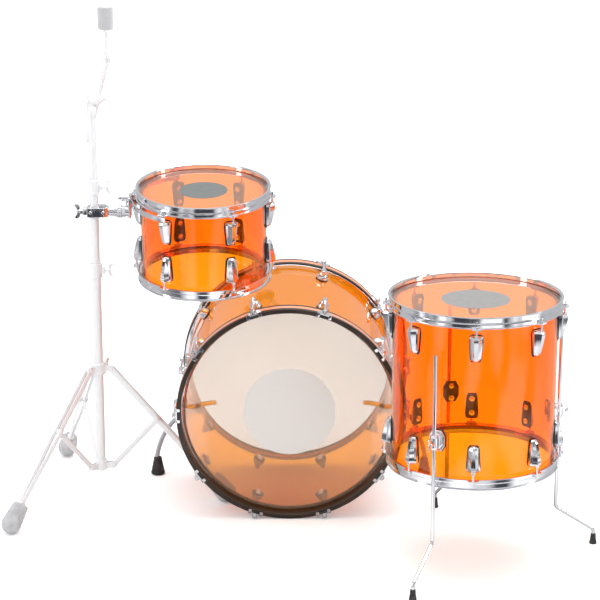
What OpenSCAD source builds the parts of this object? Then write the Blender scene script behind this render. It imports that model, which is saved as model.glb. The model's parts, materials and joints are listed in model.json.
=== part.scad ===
// Acoustic drum kit: bass drum on two curved spurs, a rack tom hung from a boom stand and a
// floor tom on three legs. The shells are clear tinted acrylic and the hardware is chromed.
// X runs to the drummer's right, Y away from the drummer and Z up. All lengths are in mm.

/* [Bass drum] */
// Outside diameter of the bass shell
bass_d = 558.8; // [540:0.1:580]
// Length of the bass shell
bass_len = 355.6; // [340:0.1:380]
// Rise of the bass drum towards its front head, in degrees
bass_tilt = 3.6; // [3:0.1:4]
// Depth of a wooden bass hoop along the drum
bass_hoop_depth = 38; // [34:1:42]
// Distance that a bass hoop stands out past the shell's edge
bass_hoop_overhang = 30; // [26:1:32]

/* [Rack tom] */
// Outside diameter of the tom shell
tom_d = 330.2; // [325:0.1:335]
// Height of the tom shell
tom_len = 228.6; // [222:0.1:232]
// Lean of the tom towards the drummer, in degrees
tom_tilt = 7; // [6:0.5:8]

/* [Floor tom] */
// Outside diameter of the floor tom shell
floor_tom_d = 406.4; // [400:0.1:412]
// Height of the floor tom shell
floor_tom_len = 406.4; // [400:0.1:412]
// Height of the floor tom's lower hoop above the floor
floor_tom_rise = 252; // [245:1:260]
// Diameter of a floor tom leg rod
leg_rod_d = 9.5; // [9:0.1:10]

/* [Shells and hoops] */
// Thickness of the acrylic shell wall
wall = 6.35; // [5:0.05:7]
// Sheet thickness of a flanged steel hoop
hoop_sheet = 2.3; // [2:0.1:2.5]
// Thickness of a drum head film
film = 0.5; // [0.4:0.1:0.8]
// Thickness of the gasket under a lug or bracket
gasket = 2; // [1.5:0.5:2]

/* [Stand] */
// Height of the boom's tilting joint above the floor
boom_pivot_z = 1094; // [1084:1:1104]
// Outside diameter of the lowest stand tube
base_tube_d = 25.4; // [25:0.1:26]
// Lean of the boom from upright, in degrees
boom_lean = 22.8; // [20:0.1:25]
// Distance of a stand foot's contact point from the column
stand_foot_reach = 343; // [340:1:346]

/* [Hidden] */
$fn = 144;

// Colours
amber = [1, 0.52, 0.05, 0.55];
chrome = [0.8, 0.81, 0.83];
black = [0.06, 0.06, 0.06];
frosted = [0.89, 0.86, 0.82, 0.8];
clear = [0.95, 0.9, 0.85, 0.4];
inlay_orange = [0.93, 0.55, 0.35];
satin = [0.86, 0.87, 0.88];
light_rubber = [0.78, 0.78, 0.79];

// Gap of a running fit, on the radius
fit = 0.08;

// Places on the floor
bass_pos = [-21, -9.5];
floor_tom_pos = [439, -226.5];
tom_pos = [-247, 198.5, 740];
stand_pos = [-534, 180.5];

// Bass drum
bass_r = bass_d / 2;
bass_hoop_r = bass_r + 16;
bass_hoop_inner_r = bass_r + 4;
bass_rod_r = bass_r + 21.5;
bass_half = bass_len / 2;
bass_face = bass_half + bass_hoop_overhang;
bass_lug_count = 10;
bass_lug_first = 18;
bass_lug_z = bass_half - 62;
claw_t = 2.2;
rod_flange_r = 6.5;

// Flanged hoops, lugs and rods of the toms, measured from the shell's wall and bearing edge
rim_top = 14;
ear_z = -14;
rod_offset = 16.5;
rod_d = 6;
washer_r = 5.1;
lug_w = 33;
lug_h = 66;
lug_depth = 24;
lug_drop = 31;
tom_lug_count = 6;
tom_lug_first = -33;
floor_tom_lug_count = 8;
floor_tom_lug_first = -4;

// Floor tom legs
leg_azimuths = [-29, 102, -168];
leg_offset = 22;
leg_reach = 330;
leg_top_z = 590;
leg_bend_z = 118;
leg_bend_a = 56;
leg_bend_r = 16;
leg_bracket_z = 370;
leg_foot_h = 28;
leg_socket_z = 6;
bend_swell = 0.15;

// Curved spurs: each arc lies in a vertical plane that passes through its bracket
spur_arc_r = 214;
spur_d = 13;
spur_centre_z = 20;
spur_splay = 20;
spur_y = 310.5;
spur_bracket_a = 115.5;
spur_inner_a = 98;
spur_foot_a = 172;
spur_drop = bass_hoop_r * cos(bass_tilt) + (spur_y - bass_pos[1]) * sin(bass_tilt)
  - spur_centre_z - spur_arc_r * sin(spur_bracket_a);
spur_side = sqrt(bass_r * bass_r - spur_drop * spur_drop);

// Stand
hub_z = 366;
brace_z = 92;
pivot_r = 36;
foot_ball_r = 26;
leg_slope = atan((hub_z - foot_ball_r) / (stand_foot_reach - pivot_r));
brace_len = (hub_z - brace_z) / 2 / sin(leg_slope);
stand_leg_angles = [-128, -8, 112];
tube_wall = 1.42;
middle_tube_r = base_tube_d / 2 - tube_wall - fit;
upper_tube_r = middle_tube_r - tube_wall - fit;
base_bottom_z = 76;
base_top_z = 640;
middle_bottom_z = 400;
middle_top_z = 884;
upper_bottom_z = 620;
upper_top_z = boom_pivot_z - 22;
boom_turn = -50;
boom_offset = 20;
boom_r = 6.35;
boom_up = 106;
boom_down = 127;
cymbal_rod_y = -3.6;
cymbal_seat_z = 71;
sleeve_h = 58;

// Joints of the stand
pivot_pin_r = 2.9;
ratchet_r = 15;
ratchet_pin_r = 4;
boom_collar_r = 13.2;
cymbal_pin_r = 3.5;
lock_half = 18;
lock_wall = 4;

// Tom mount
clamp_z = 798;
mount_hinge_x = -461;
mount_pin_r = 6;

// ---------------------------------------------------------------- general shapes

// Round rod or pin between two heights
module rod(r, z0, z1) translate([0, 0, z0]) cylinder(r = r, h = z1 - z0);

// Round rods along Y and along X
module rod_y(r, y0, y1) rotate([-90, 0, 0]) rod(r, y0, y1);
module rod_x(r, x0, x1) rotate([0, 90, 0]) rod(r, x0, x1);

// Ring with a true bore
module ring(r_out, r_in, z0, z1) difference() {
  rod(r_out, z0, z1);
  rod(r_in, z0 - 1, z1 + 1);
}

// Part of a torus in the XZ plane, from angle a0 to a1 measured from +X towards +Z
module bow(arc_r, a0, a1, r) rotate([90, 0, 0]) rotate([0, 0, a0])
  rotate_extrude(angle = a1 - a0) translate([arc_r, 0]) circle(r);

// Places children round a drum: azimuth from the -Y side towards +X, local +Y pointing outwards
module around(count, first) for (i = [0:count - 1]) rotate([0, 0, first + i * 360 / count + 180])
  children();

// Places children at both ends of a shell that is centred on the origin
module both_ends() {
  children();
  mirror([0, 0, 1]) children();
}

// Flat bar with round ends between two points of the XZ plane, centred on y
module link(p, q, w, t, y = 0) {
  d = q - p;
  translate([p[0], y + t / 2, p[1]]) rotate([90, 0, 0]) linear_extrude(t)
    rotate(atan2(d[1], d[0])) union() {
      circle(w / 2);
      translate([0, -w / 2]) square([norm(d), w]);
      translate([norm(d), 0]) circle(w / 2);
    }
}

// Wing screw along +Z: shank, collar and two loops
module wing_screw(shank, wing = 15) {
  rod(3, 0, shank);
  rod(5.5, shank, shank + 9);
  translate([0, 1.75, shank + 9]) rotate([90, 0, 0]) linear_extrude(3.5) difference() {
    union() {
      for (side = [-1, 1]) translate([side * wing * 0.62, 2]) circle(wing * 0.5);
      translate([-wing * 0.5, -4]) square([wing, 7]);
    }
    for (side = [-1, 1]) translate([side * wing * 0.66, 2.5]) circle(wing * 0.22);
  }
}

// ---------------------------------------------------------------- drum parts, drum axis on Z

// Acrylic tube with bevelled bearing edges
module shell(r, len) rotate_extrude() polygon([
  [r - wall, -len / 2 + 3], [r - wall + 3, -len / 2], [r - 1, -len / 2], [r, -len / 2 + 1],
  [r, len / 2 - 1], [r - 1, len / 2], [r - wall + 3, len / 2], [r - wall, len / 2 - 3],
]);

// Head: film over the bearing edge, collar and flesh ring, for the +Z end of a shell
module head(r, len, ring_out, ring_z) translate([0, 0, len / 2]) rotate_extrude() polygon([
  [0, 0], [r + 0.3, 0], [r + 0.3, ring_z], [r + 0.3, ring_z - 8], [ring_out, ring_z - 8],
  [ring_out, ring_z], [r + 0.3 + film, ring_z], [r + 0.3 + film, film], [0, film],
]);

// Printed or laminated disc in the middle of a batter head
module dot(r, len) rod(r, len / 2 + film, len / 2 + film + 0.4);

// Triple-flanged hoop with ears, for the +Z end of a shell
module flanged_hoop(r, len, count, first) translate([0, 0, len / 2]) {
  rotate_extrude() polygon([
    [r + 5, -3.3], [r + 9, -3.3], [r + 9, ear_z], [r + 13, ear_z], [r + 13, ear_z + hoop_sheet],
    [r + 9 + hoop_sheet, ear_z + hoop_sheet], [r + 9 + hoop_sheet, -1], [r + 5 + hoop_sheet, -1],
    [r + 5 + hoop_sheet, rim_top - hoop_sheet], [r + 13, rim_top - hoop_sheet],
    [r + 13, rim_top], [r + 5, rim_top],
  ]);
  around(count, first) difference() {
    translate([-13, r + 10, ear_z]) cube([26, 15, hoop_sheet]);
    translate([0, r + rod_offset, 0]) rod(rod_d / 2 + 0.4, ear_z - 1, 0);
  }
}

// Outline of a tom lug, wide at the rod's end, grown by g
module lug_outline(g) polygon([
  [-9 - g, -lug_h / 2 - g], [9 + g, -lug_h / 2 - g], [13 + g, -lug_h / 2 + 8 - g],
  [lug_w / 2 + g, lug_h / 2 - 12], [lug_w / 2 - 2 + g, lug_h / 2 - 3 + g], [lug_w / 2 - 6, lug_h / 2 + g],
  [6 - lug_w / 2, lug_h / 2 + g], [2 - lug_w / 2 - g, lug_h / 2 - 3 + g], [-lug_w / 2 - g, lug_h / 2 - 12],
  [-13 - g, -lug_h / 2 + 8 - g],
]);

// Lug at the +Z end, centred on its own height, with the shell's wall at radius r
module tom_lug(r) difference() {
  intersection() {
    translate([0, r + 30, 0]) rotate([90, 0, 0]) linear_extrude(35) lug_outline(0);
    translate([-lug_w, r, 0]) rotate([90, 0, 90]) linear_extrude(2 * lug_w) polygon([
      [-5, -lug_h / 2], [8, -lug_h / 2], [15, -lug_h / 2 + 10], [lug_depth, lug_h / 2 - 14],
      [lug_depth, lug_h / 2 - 6], [lug_depth - 4, lug_h / 2], [-5, lug_h / 2],
    ]);
    translate([0, r, -lug_h]) linear_extrude(2 * lug_h) polygon([
      [-lug_w / 2, -5], [lug_w / 2, -5], [lug_w / 2, 12], [5, lug_depth], [-5, lug_depth], [-lug_w / 2, 12],
    ]);
  }
  rod(r + gasket, -lug_h, lug_h);
  translate([0, r + rod_offset, 0]) rod(rod_d / 2 + 0.2, -lug_h / 2 + 20, lug_h);
}

// All lugs of a tom
module tom_lug_set(r, len, count, first) both_ends() around(count, first)
  translate([0, 0, len / 2 - lug_drop - lug_h / 2]) tom_lug(r);

// Gaskets under all lugs of a tom
module tom_gasket_set(r, len, count, first) both_ends() around(count, first)
  translate([0, 0, len / 2 - lug_drop - lug_h / 2]) intersection() {
    ring(r + gasket, r, -lug_h, lug_h);
    translate([0, r + 30, 0]) rotate([90, 0, 0]) linear_extrude(40) lug_outline(1.5);
  }

// Tension rods with washers and square heads
module tom_rod_set(r, len, count, first) both_ends() around(count, first)
  translate([0, r + rod_offset, len / 2]) {
    rod(rod_d / 2, -lug_drop - 28, ear_z + hoop_sheet + 1);
    translate([0, 0, ear_z + hoop_sheet]) {
      rod(washer_r, 0, 1.4);
      rod(4.6, 1.4, 4);
      translate([-2.6, -2.6, 4]) cube([5.2, 5.2, 7]);
    }
  }

// ---------------------------------------------------------------- bass drum

// Bass drum frame: drum axis on local Z with the batter side at +Z and the top at local +Y
module bass_frame() translate([bass_pos[0], bass_pos[1], bass_hoop_r * cos(bass_tilt)])
  rotate([90 + bass_tilt, 0, 0]) translate([0, 0, -bass_face]) children();

// Places children at every bass lug, local +Y pointing outwards, for one end
module bass_lug_ring() for (i = [0:bass_lug_count - 1])
  rotate([0, 0, bass_lug_first + i * 360 / bass_lug_count]) children();

module bass_shell() color(amber) difference() {
  bass_frame() shell(bass_r, bass_len);
  for (side = [-1, 1]) spur_frame(side)
    bow(spur_arc_r, spur_bracket_a - 9, spur_bracket_a + 6, spur_d / 2 + 2);
}

module bass_batter_head() color(frosted) bass_frame() {
  head(bass_r, bass_len, bass_hoop_r - 3, -8);
  dot(121, bass_len);
}

module bass_front_head() color(clear) bass_frame() mirror([0, 0, 1])
  head(bass_r, bass_len, bass_hoop_r - 3, -8);

// One wooden hoop with a groove for its inlay
module bass_hoop() translate([0, 0, bass_half]) rotate_extrude() {
  z0 = bass_hoop_overhang - bass_hoop_depth;
  groove_z = z0 + bass_hoop_depth / 2;
  polygon([
    [bass_hoop_inner_r, z0], [bass_hoop_r - 1.5, z0], [bass_hoop_r, z0 + 1.5],
    [bass_hoop_r, groove_z - 8], [bass_hoop_r - 1, groove_z - 8], [bass_hoop_r - 1, groove_z + 8],
    [bass_hoop_r, groove_z + 8], [bass_hoop_r, bass_hoop_overhang - 1.5],
    [bass_hoop_r - 1.5, bass_hoop_overhang], [bass_hoop_inner_r + 1.5, bass_hoop_overhang],
    [bass_hoop_inner_r, bass_hoop_overhang - 1.5],
  ]);
}

module bass_hoops() color(black) bass_frame() both_ends() bass_hoop();

module bass_hoop_inlays() color(inlay_orange) bass_frame() both_ends()
  translate([0, 0, bass_half + bass_hoop_overhang - bass_hoop_depth / 2])
    ring(bass_hoop_r, bass_hoop_r - 1, -8, 8);

// Round lug with a barrel that takes the tension rod
module bass_lug() difference() {
  union() {
    rod_y(15, bass_r - 5, bass_r + 12);
    translate([0, bass_r + 12, 0]) rotate([-90, 0, 0]) cylinder(r1 = 15, r2 = 8, h = 9);
    translate([0, bass_rod_r, 0]) rod(6.5, -10, 22);
    translate([-6, bass_r + 2, -8]) cube([12, 20, 24]);
  }
  rod(bass_r + gasket, -40, 40);
  translate([0, bass_rod_r, 0]) rod(rod_d / 2 + 0.2, -5, 30);
}

module bass_lugs() color(chrome) bass_frame() both_ends() bass_lug_ring()
  translate([0, 0, bass_lug_z]) bass_lug();

// Claw that hooks over a hoop's outer face, with two prongs and a boss for the rod
module claw() translate([0, 0, bass_half + bass_hoop_overhang]) difference() {
  union() {
    intersection() {
      ring(bass_hoop_r + claw_t, bass_hoop_r - 1, -20, claw_t);
      translate([0, bass_hoop_r + 8, 0]) rotate([90, 0, 0]) linear_extrude(30)
        polygon([[-20, claw_t], [20, claw_t], [20, -4], [8, -20], [-8, -20], [-20, -4]]);
    }
    for (side = [-1, 1]) translate([side * 15.5 - 4.5, bass_hoop_r - 10, 0]) cube([9, 11, claw_t]);
    translate([0, bass_rod_r, -12]) cylinder(r = 7, h = 12);
    translate([-7, bass_hoop_r + 0.5, -12]) cube([14, 5, 12]);
  }
  rod(bass_hoop_r + 0.1, -30, 0);
  translate([0, bass_rod_r, 0]) {
    rod(rod_d / 2 + 0.4, -14, 1);
    rod(rod_flange_r + 0.3, 0, claw_t + 1);
  }
}

module bass_claws() color(chrome) bass_frame() both_ends() bass_lug_ring() claw();

// Rods from the lugs through the claws, with flanged square heads
module bass_tension_rods() color(chrome) bass_frame() both_ends() bass_lug_ring()
  translate([0, bass_rod_r, bass_half + bass_hoop_overhang]) {
    rod(rod_d / 2, bass_lug_z - bass_half - bass_hoop_overhang - 4, 0.5);
    rod(rod_flange_r, 0, 2.5);
    translate([-3, -3, 2.5]) cube([6, 6, 7.5]);
  }

// ---------------------------------------------------------------- spurs

// Frame of a spur: its arc lies in local XZ about the local origin, side -1 is the left one
module spur_frame(side) translate([bass_pos[0], spur_y, spur_centre_z]) {
  if (side < 0) spur_plane() children();
  else mirror([1, 0, 0]) spur_plane() children();
}

// Vertical plane of the left spur, turned outwards towards the front head
module spur_plane() translate([-spur_side, 0, 0]) rotate([0, 0, -spur_splay])
  translate([-spur_arc_r * cos(spur_bracket_a), 0, 0]) children();

// Frame at the bracket, with local Z pointing outwards along the spur
module spur_bracket_frame(side) spur_frame(side) rotate([0, 90 - spur_bracket_a, 0])
  translate([0, 0, spur_arc_r]) rotate([0, -90, 0]) children();

module spur(side) color(chrome) spur_frame(side) bow(spur_arc_r, spur_inner_a, spur_foot_a + 2, spur_d / 2);

// Rubber cone at a spur's end, flat on the floor
module spur_foot(side) color(black) spur_frame(side) {
  p = spur_arc_r * [cos(spur_foot_a), sin(spur_foot_a)];
  difference() {
    translate([p[0] + 2, 0, -spur_centre_z]) cylinder(r1 = 20, r2 = 10.5, h = spur_centre_z + p[1] + 1);
    bow(spur_arc_r, spur_inner_a, spur_foot_a + 2, spur_d / 2);
  }
}

// Bracket that the curved rod slides through, with its base on the shell and its lock screw
module spur_brackets() color(chrome) for (side = [-1, 1]) difference() {
  spur_bracket_frame(side) {
    rod(12.5, -6, 20);
    rod(22, -12, 6);
    translate([11, 0, 13]) rotate([0, 90, 0]) wing_screw(7, 13);
  }
  bass_frame() rod(bass_r + gasket, -bass_half, bass_half);
  spur_frame(side) bow(spur_arc_r, spur_bracket_a - 12, spur_bracket_a + 12, spur_d / 2 + fit);
}

module spur_gaskets() for (side = [-1, 1]) difference() {
  intersection() {
    bass_frame() ring(bass_r + gasket, bass_r, -bass_half, bass_half);
    spur_bracket_frame(side) rod(24, -30, 30);
  }
  spur_frame(side) bow(spur_arc_r, spur_bracket_a - 12, spur_bracket_a + 12, spur_d / 2 + 1);
}

// ---------------------------------------------------------------- floor tom

floor_tom_r = floor_tom_d / 2;
floor_tom_mid = floor_tom_rise + rim_top + floor_tom_len / 2;
module floor_tom_frame() translate([floor_tom_pos[0], floor_tom_pos[1], floor_tom_mid]) children();

module floor_tom_shell() color(amber) floor_tom_frame() shell(floor_tom_r, floor_tom_len);

module floor_tom_batter_head() color(clear) floor_tom_frame() {
  head(floor_tom_r, floor_tom_len, floor_tom_r + 8.5, -3.5);
  dot(85, floor_tom_len);
}

module floor_tom_bottom_head() color(clear) floor_tom_frame() mirror([0, 0, 1])
  head(floor_tom_r, floor_tom_len, floor_tom_r + 8.5, -3.5);

module floor_tom_hoops() color(chrome) floor_tom_frame() both_ends()
  flanged_hoop(floor_tom_r, floor_tom_len, floor_tom_lug_count, floor_tom_lug_first);

module floor_tom_lugs() color(chrome) floor_tom_frame()
  tom_lug_set(floor_tom_r, floor_tom_len, floor_tom_lug_count, floor_tom_lug_first);

module floor_tom_tension_rods() color(chrome) floor_tom_frame()
  tom_rod_set(floor_tom_r, floor_tom_len, floor_tom_lug_count, floor_tom_lug_first);

// Places children at one leg: local X points outwards from the drum's axis, Z from the floor
module leg_frame(i) translate([floor_tom_pos[0], floor_tom_pos[1], 0])
  rotate([0, 0, leg_azimuths[i] - 90]) children();

// Rod that runs down beside the shell and steps out to the foot
leg_x = floor_tom_r + leg_offset;
leg_run = leg_reach - leg_x - 2 * leg_bend_r * (1 - cos(leg_bend_a));
leg_slant = leg_run / sin(leg_bend_a);
leg_low_z = leg_bend_z - 2 * leg_bend_r * sin(leg_bend_a) - leg_slant * cos(leg_bend_a);
module leg(i) color(chrome) leg_frame(i) {
  r = leg_rod_d / 2;
  low_x = leg_x + leg_bend_r * (1 - cos(leg_bend_a));
  translate([leg_x, 0, 0]) rod(r, leg_bend_z - 1, leg_top_z);
  translate([leg_x + leg_bend_r, 0, leg_bend_z]) bow(leg_bend_r, 180, 180 + leg_bend_a, r + bend_swell);
  translate([low_x, 0, leg_bend_z - leg_bend_r * sin(leg_bend_a)])
    rotate([0, 180 - leg_bend_a, 0]) rod(r, -1, leg_slant + 1);
  translate([leg_reach - leg_bend_r, 0, leg_low_z]) bow(leg_bend_r, 0, leg_bend_a, r + bend_swell);
  translate([leg_reach, 0, 0]) rod(r, leg_socket_z, leg_low_z + 1);
}

module leg_foot(i) color(black) leg_frame(i) translate([leg_reach, 0, 0]) difference() {
  union() {
    cylinder(r1 = 9.5, r2 = 8.5, h = 8);
    translate([0, 0, 8]) cylinder(r1 = 8.5, r2 = 6.6, h = leg_foot_h - 8);
  }
  rod(leg_rod_d / 2 + fit, leg_socket_z - fit, leg_foot_h + 1);
}

// Octagonal base and rod barrel
leg_barrel_half = 16;
leg_base = [[-20, -12], [-12, -26], [12, -26], [20, -12], [20, 12], [12, 26], [-12, 26], [-20, 12]];
module floor_tom_leg_brackets() color(chrome) for (i = [0:2]) leg_frame(i)
  difference() {
    translate([0, 0, leg_bracket_z]) {
      translate([floor_tom_r - 4, 0, 0]) rotate([90, 0, 90]) linear_extrude(11) polygon(leg_base);
      translate([leg_x, 0, 0]) rod(10, -leg_barrel_half, leg_barrel_half);
      translate([floor_tom_r, -7, -12]) cube([leg_offset, 14, 24]);
      rod_x(7, leg_x, leg_x + 14);
    }
    rod(floor_tom_r + gasket, 300, 440);
    translate([leg_x, 0, leg_bracket_z]) rod(leg_rod_d / 2 + fit, -leg_barrel_half - 1, leg_barrel_half + 1);
    translate([leg_x, 0, leg_bracket_z]) rod_x(3.1, 4, 20);
  }

module leg_wing_screws() color(chrome) for (i = [0:2]) leg_frame(i)
  translate([leg_x + leg_rod_d / 2 + 0.4, 0, leg_bracket_z]) rotate([0, 90, 0]) wing_screw(10, 14);

// Gaskets under everything that is bolted to the bass and floor tom shells
module lug_gaskets() color(black) {
  bass_frame() both_ends() bass_lug_ring() intersection() {
    ring(bass_r + gasket, bass_r, bass_lug_z - 30, bass_lug_z + 30);
    translate([0, 0, bass_lug_z]) rod_y(17, bass_r - 20, bass_r + 20);
  }
  spur_gaskets();
  floor_tom_frame() tom_gasket_set(floor_tom_r, floor_tom_len, floor_tom_lug_count, floor_tom_lug_first);
  for (i = [0:2]) leg_frame(i) intersection() {
    ring(floor_tom_r + gasket, floor_tom_r, 300, 440);
    translate([floor_tom_r - 10, 0, leg_bracket_z]) rotate([90, 0, 90]) linear_extrude(30)
      polygon(leg_base * 1.06);
  }
}

// ---------------------------------------------------------------- rack tom

tom_r = tom_d / 2;
module tom_frame() translate(tom_pos) rotate([tom_tilt, 0, 0]) children();

module tom_shell() color(amber) tom_frame() shell(tom_r, tom_len);

module tom_batter_head() color(clear) tom_frame() {
  head(tom_r, tom_len, tom_r + 8.5, -3.5);
  dot(64, tom_len);
}

module tom_bottom_head() color(clear) tom_frame() mirror([0, 0, 1])
  head(tom_r, tom_len, tom_r + 8.5, -3.5);

module tom_hoops() color(chrome) tom_frame() both_ends()
  flanged_hoop(tom_r, tom_len, tom_lug_count, tom_lug_first);

module tom_lugs() color(chrome) tom_frame() tom_lug_set(tom_r, tom_len, tom_lug_count, tom_lug_first);

module tom_lug_gaskets() color(black) tom_frame()
  tom_gasket_set(tom_r, tom_len, tom_lug_count, tom_lug_first);

module tom_tension_rods() color(chrome) tom_frame()
  tom_rod_set(tom_r, tom_len, tom_lug_count, tom_lug_first);

// Steel band round the left side, held on three tension rods
band_z = tom_len / 2 - 22.5;
band_r = tom_r + 22;
band_t = 2;
band_h = 14;
band_sweep = 128;
module tom_suspension_band() color(chrome) tom_frame() {
  translate([0, 0, band_z - band_h / 2]) rotate([0, 0, 270 + tom_lug_first - band_sweep + 4])
    rotate_extrude(angle = band_sweep) translate([band_r, 0]) square([band_t, band_h]);
  for (i = [0:2]) rotate([0, 0, tom_lug_first - i * 360 / tom_lug_count + 180])
    translate([0, tom_r + rod_offset, band_z]) difference() {
      union() {
        rod(6.5, -4, 4);
        translate([-4, 0, -4]) cube([8, 6.5, 8]);
      }
      rod(rod_d / 2 + 0.2, -5, 5);
    }
}

// Bracket that joins the band to the tilting joint
hinge_y = stand_pos[1];
tom_hinge_r = 15;
module tom_mount_bracket() color(chrome) {
  tom_frame() difference() {
    union() {
      translate([-band_r - 10, -24, band_z - 48]) cube([8, 44, 56]);
      translate([-band_r - 20, -12, band_z - 8]) cube([12, 20, 16]);
    }
    for (y = [-16, 12]) translate([-band_r - 11, y, band_z]) rod_x(2.5, 0, 10);
  }
  translate([mount_hinge_x, hinge_y, clamp_z]) difference() {
    rod_x(tom_hinge_r, 0, 22);
    rod_x(mount_pin_r + fit, -1, 16);
  }
}

// Arm between the clamp and the tom's tilting joint, with the joint's pin
module tom_mount_arm() color(chrome) translate([mount_hinge_x, hinge_y, clamp_z]) {
  rod_x(tom_hinge_r + 2, -12, -0.4);
  rod_x(tom_hinge_r - 3, -36, -12);
  rod_x(mount_pin_r, -1, 14);
}

// Clamp round the stand tube, with a split through its ear for the wing bolt
module tom_clamp() color(chrome) translate([stand_pos[0], stand_pos[1], clamp_z]) difference() {
  union() {
    translate([-19, -20, -14]) cube([56, 40, 28]);
    translate([-30, -9, -9]) cube([12, 18, 18]);
  }
  rod(middle_tube_r + fit, -20, 20);
  translate([-25, -30, -30]) cube([1.5, 60, 60]);
  rod_x(4.2, -40, -18);
}

module tom_clamp_wing_bolt() color(chrome) translate([stand_pos[0] - 20, stand_pos[1], clamp_z])
  rotate([0, -90, 0]) wing_screw(14, 18);

// ---------------------------------------------------------------- stand

module stand_frame() translate([stand_pos[0], stand_pos[1], 0]) children();

// Places children in the plane of one stand leg, local X pointing outwards
module stand_leg_frame(i) stand_frame() rotate([0, 0, stand_leg_angles[i]]) children();

// Lowest tube with the collar that the braces hang from
module stand_base_tube() color(satin) {
  difference() {
    union() {
      stand_frame() rod(base_tube_d / 2, base_bottom_z, base_top_z - 2);
      stand_frame() rod(19, brace_z - 11, brace_z + 11);
      for (i = [0:2]) stand_leg_frame(i) for (y = [-5.2, 5.2])
        link([14, brace_z], [pivot_r, brace_z], 16, 3, y);
    }
    stand_frame() rod(middle_tube_r + fit, base_bottom_z - 1, base_top_z);
  }
  for (i = [0:2]) stand_leg_frame(i) translate([pivot_r, 0, brace_z]) rod_y(pivot_pin_r, -6.7, 6.7);
}

// Sliding collar that carries the legs and its wing screw
module stand_hub_collar() color(satin) {
  difference() {
    union() {
      stand_frame() rod(20, hub_z - 16, hub_z + 16);
      for (i = [0:2]) stand_leg_frame(i) link([16, hub_z], [pivot_r, hub_z], 18, 8);
      stand_frame() rotate([0, 0, 50]) translate([19, 0, hub_z + 4]) rotate([0, 90, 0]) wing_screw(8, 15);
    }
    stand_frame() rod(base_tube_d / 2 + fit, hub_z - 20, hub_z + 20);
  }
  for (i = [0:2]) stand_leg_frame(i) translate([pivot_r, 0, hub_z]) rod_y(pivot_pin_r, -9.5, 9.5);
}

// Point of the leg's plane at distance t from its pivot
function leg_point(t) = [pivot_r + t * cos(leg_slope), hub_z - t * sin(leg_slope)];
leg_len = (hub_z - foot_ball_r) / sin(leg_slope);
foot_len = 62;

// Places children at a leg's pivot with local X towards its foot
module leg_line() translate([pivot_r, 0, hub_z]) rotate([0, leg_slope, 0]) children();

// Block that closes the lower straps and fills the foot's socket
module leg_plug() leg_line() translate([leg_len - foot_len - 2, -7, -9]) cube([26, 14, 18]);

// Leg of two upper straps and two lower straps that close towards the foot
module stand_leg(i) color(satin) stand_leg_frame(i) difference() {
  union() {
    for (y = [-7, 7]) link(leg_point(0), leg_point(brace_len + 4), 15, 3, y);
    leg_line() for (side = [-1, 1]) translate([brace_len - 8, side * 10.2, 0])
      rotate([0, 0, -side * 1.9]) translate([0, -1.5, -7])
        cube([leg_len - foot_len - brace_len + 20, 3, 14]);
    leg_plug();
    leg_line() translate([brace_len, 0, 0]) for (y = [-12.5, 5.6]) rod_y(5, y, y + 6.9);
  }
  translate([pivot_r, 0, hub_z]) rod_y(pivot_pin_r + fit, -12, 12);
}

// Rubber foot along the leg, with a ball end
module stand_foot(i) color(light_rubber) stand_leg_frame(i) difference() {
  leg_line() translate([leg_len, 0, 0]) rotate([0, -90, 0]) {
    sphere(foot_ball_r);
    cylinder(r1 = foot_ball_r, r2 = 20, h = foot_len - 6);
  }
  leg_plug();
}

// Strap from the lower collar up to a leg; its outer end runs free between the leg's straps
module stand_brace(i) color(satin) stand_leg_frame(i) difference() {
  p = [pivot_r, brace_z];
  q = leg_point(brace_len) - [0, 0.4];
  link(p, q, 14, 6);
  translate([p[0], 0, p[1]]) rod_y(pivot_pin_r + fit, -8, 8);
}

// Clamp collar round the joint of two tubes, with its wing screw
module height_lock(z, r_below, r_above) stand_frame() translate([0, 0, z]) {
  difference() {
    union() {
      rod(r_below + lock_wall, -lock_half, lock_half);
      translate([r_below, -8, -10]) cube([12, 16, 20]);
    }
    rod(r_below, -lock_half - 1, 0);
    rod(r_above + fit, -1, lock_half + 1);
  }
  translate([r_below + 12, 0, 0]) rotate([0, 90, 0]) wing_screw(6, 17);
}

module lower_height_lock() color(satin) height_lock(base_top_z - 2, base_tube_d / 2, middle_tube_r);
module upper_height_lock() color(satin) height_lock(middle_top_z - 20, middle_tube_r, upper_tube_r);

module stand_middle_tube() color(satin) stand_frame()
  ring(middle_tube_r, upper_tube_r + fit, middle_bottom_z, middle_top_z - 20);

module stand_upper_tube() color(satin) stand_frame()
  ring(upper_tube_r, upper_tube_r - tube_wall, upper_bottom_z, upper_top_z);

// Frame of the boom's tilting joint: local Y is the hinge axis
module boom_frame() stand_frame() translate([0, 0, boom_pivot_z]) rotate([0, 0, boom_turn]) children();

module boom_tilter_base() color(satin) boom_frame() {
  ring(boom_collar_r, upper_tube_r, -40, -22);
  rod(boom_collar_r, -22, -18);
  difference() {
    union() {
      translate([-10, -9, -20]) cube([20, 12, 20]);
      rod_y(ratchet_r, -9, 3);
    }
    rod_y(ratchet_pin_r + fit, -20, 20);
  }
}

// Half of the tilter that clamps the boom, with the joint's pin and both wing nuts
module boom_tilter_clamp() color(satin) boom_frame() {
  difference() {
    rod_y(ratchet_r, 3.4, 29.4);
    rotate([0, boom_lean, 0]) translate([0, boom_offset, 0]) rod(boom_r + fit, -40, 40);
  }
  rod_y(ratchet_pin_r, -14, 4);
  translate([0, -12, 0]) rotate([90, 0, 0]) wing_screw(4, 17);
  translate([0, 29, 0]) rotate([-90, 0, 0]) wing_screw(6, 15);
}

// Frame along the boom
module boom_line() boom_frame() rotate([0, boom_lean, 0]) translate([0, boom_offset, 0]) children();

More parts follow.
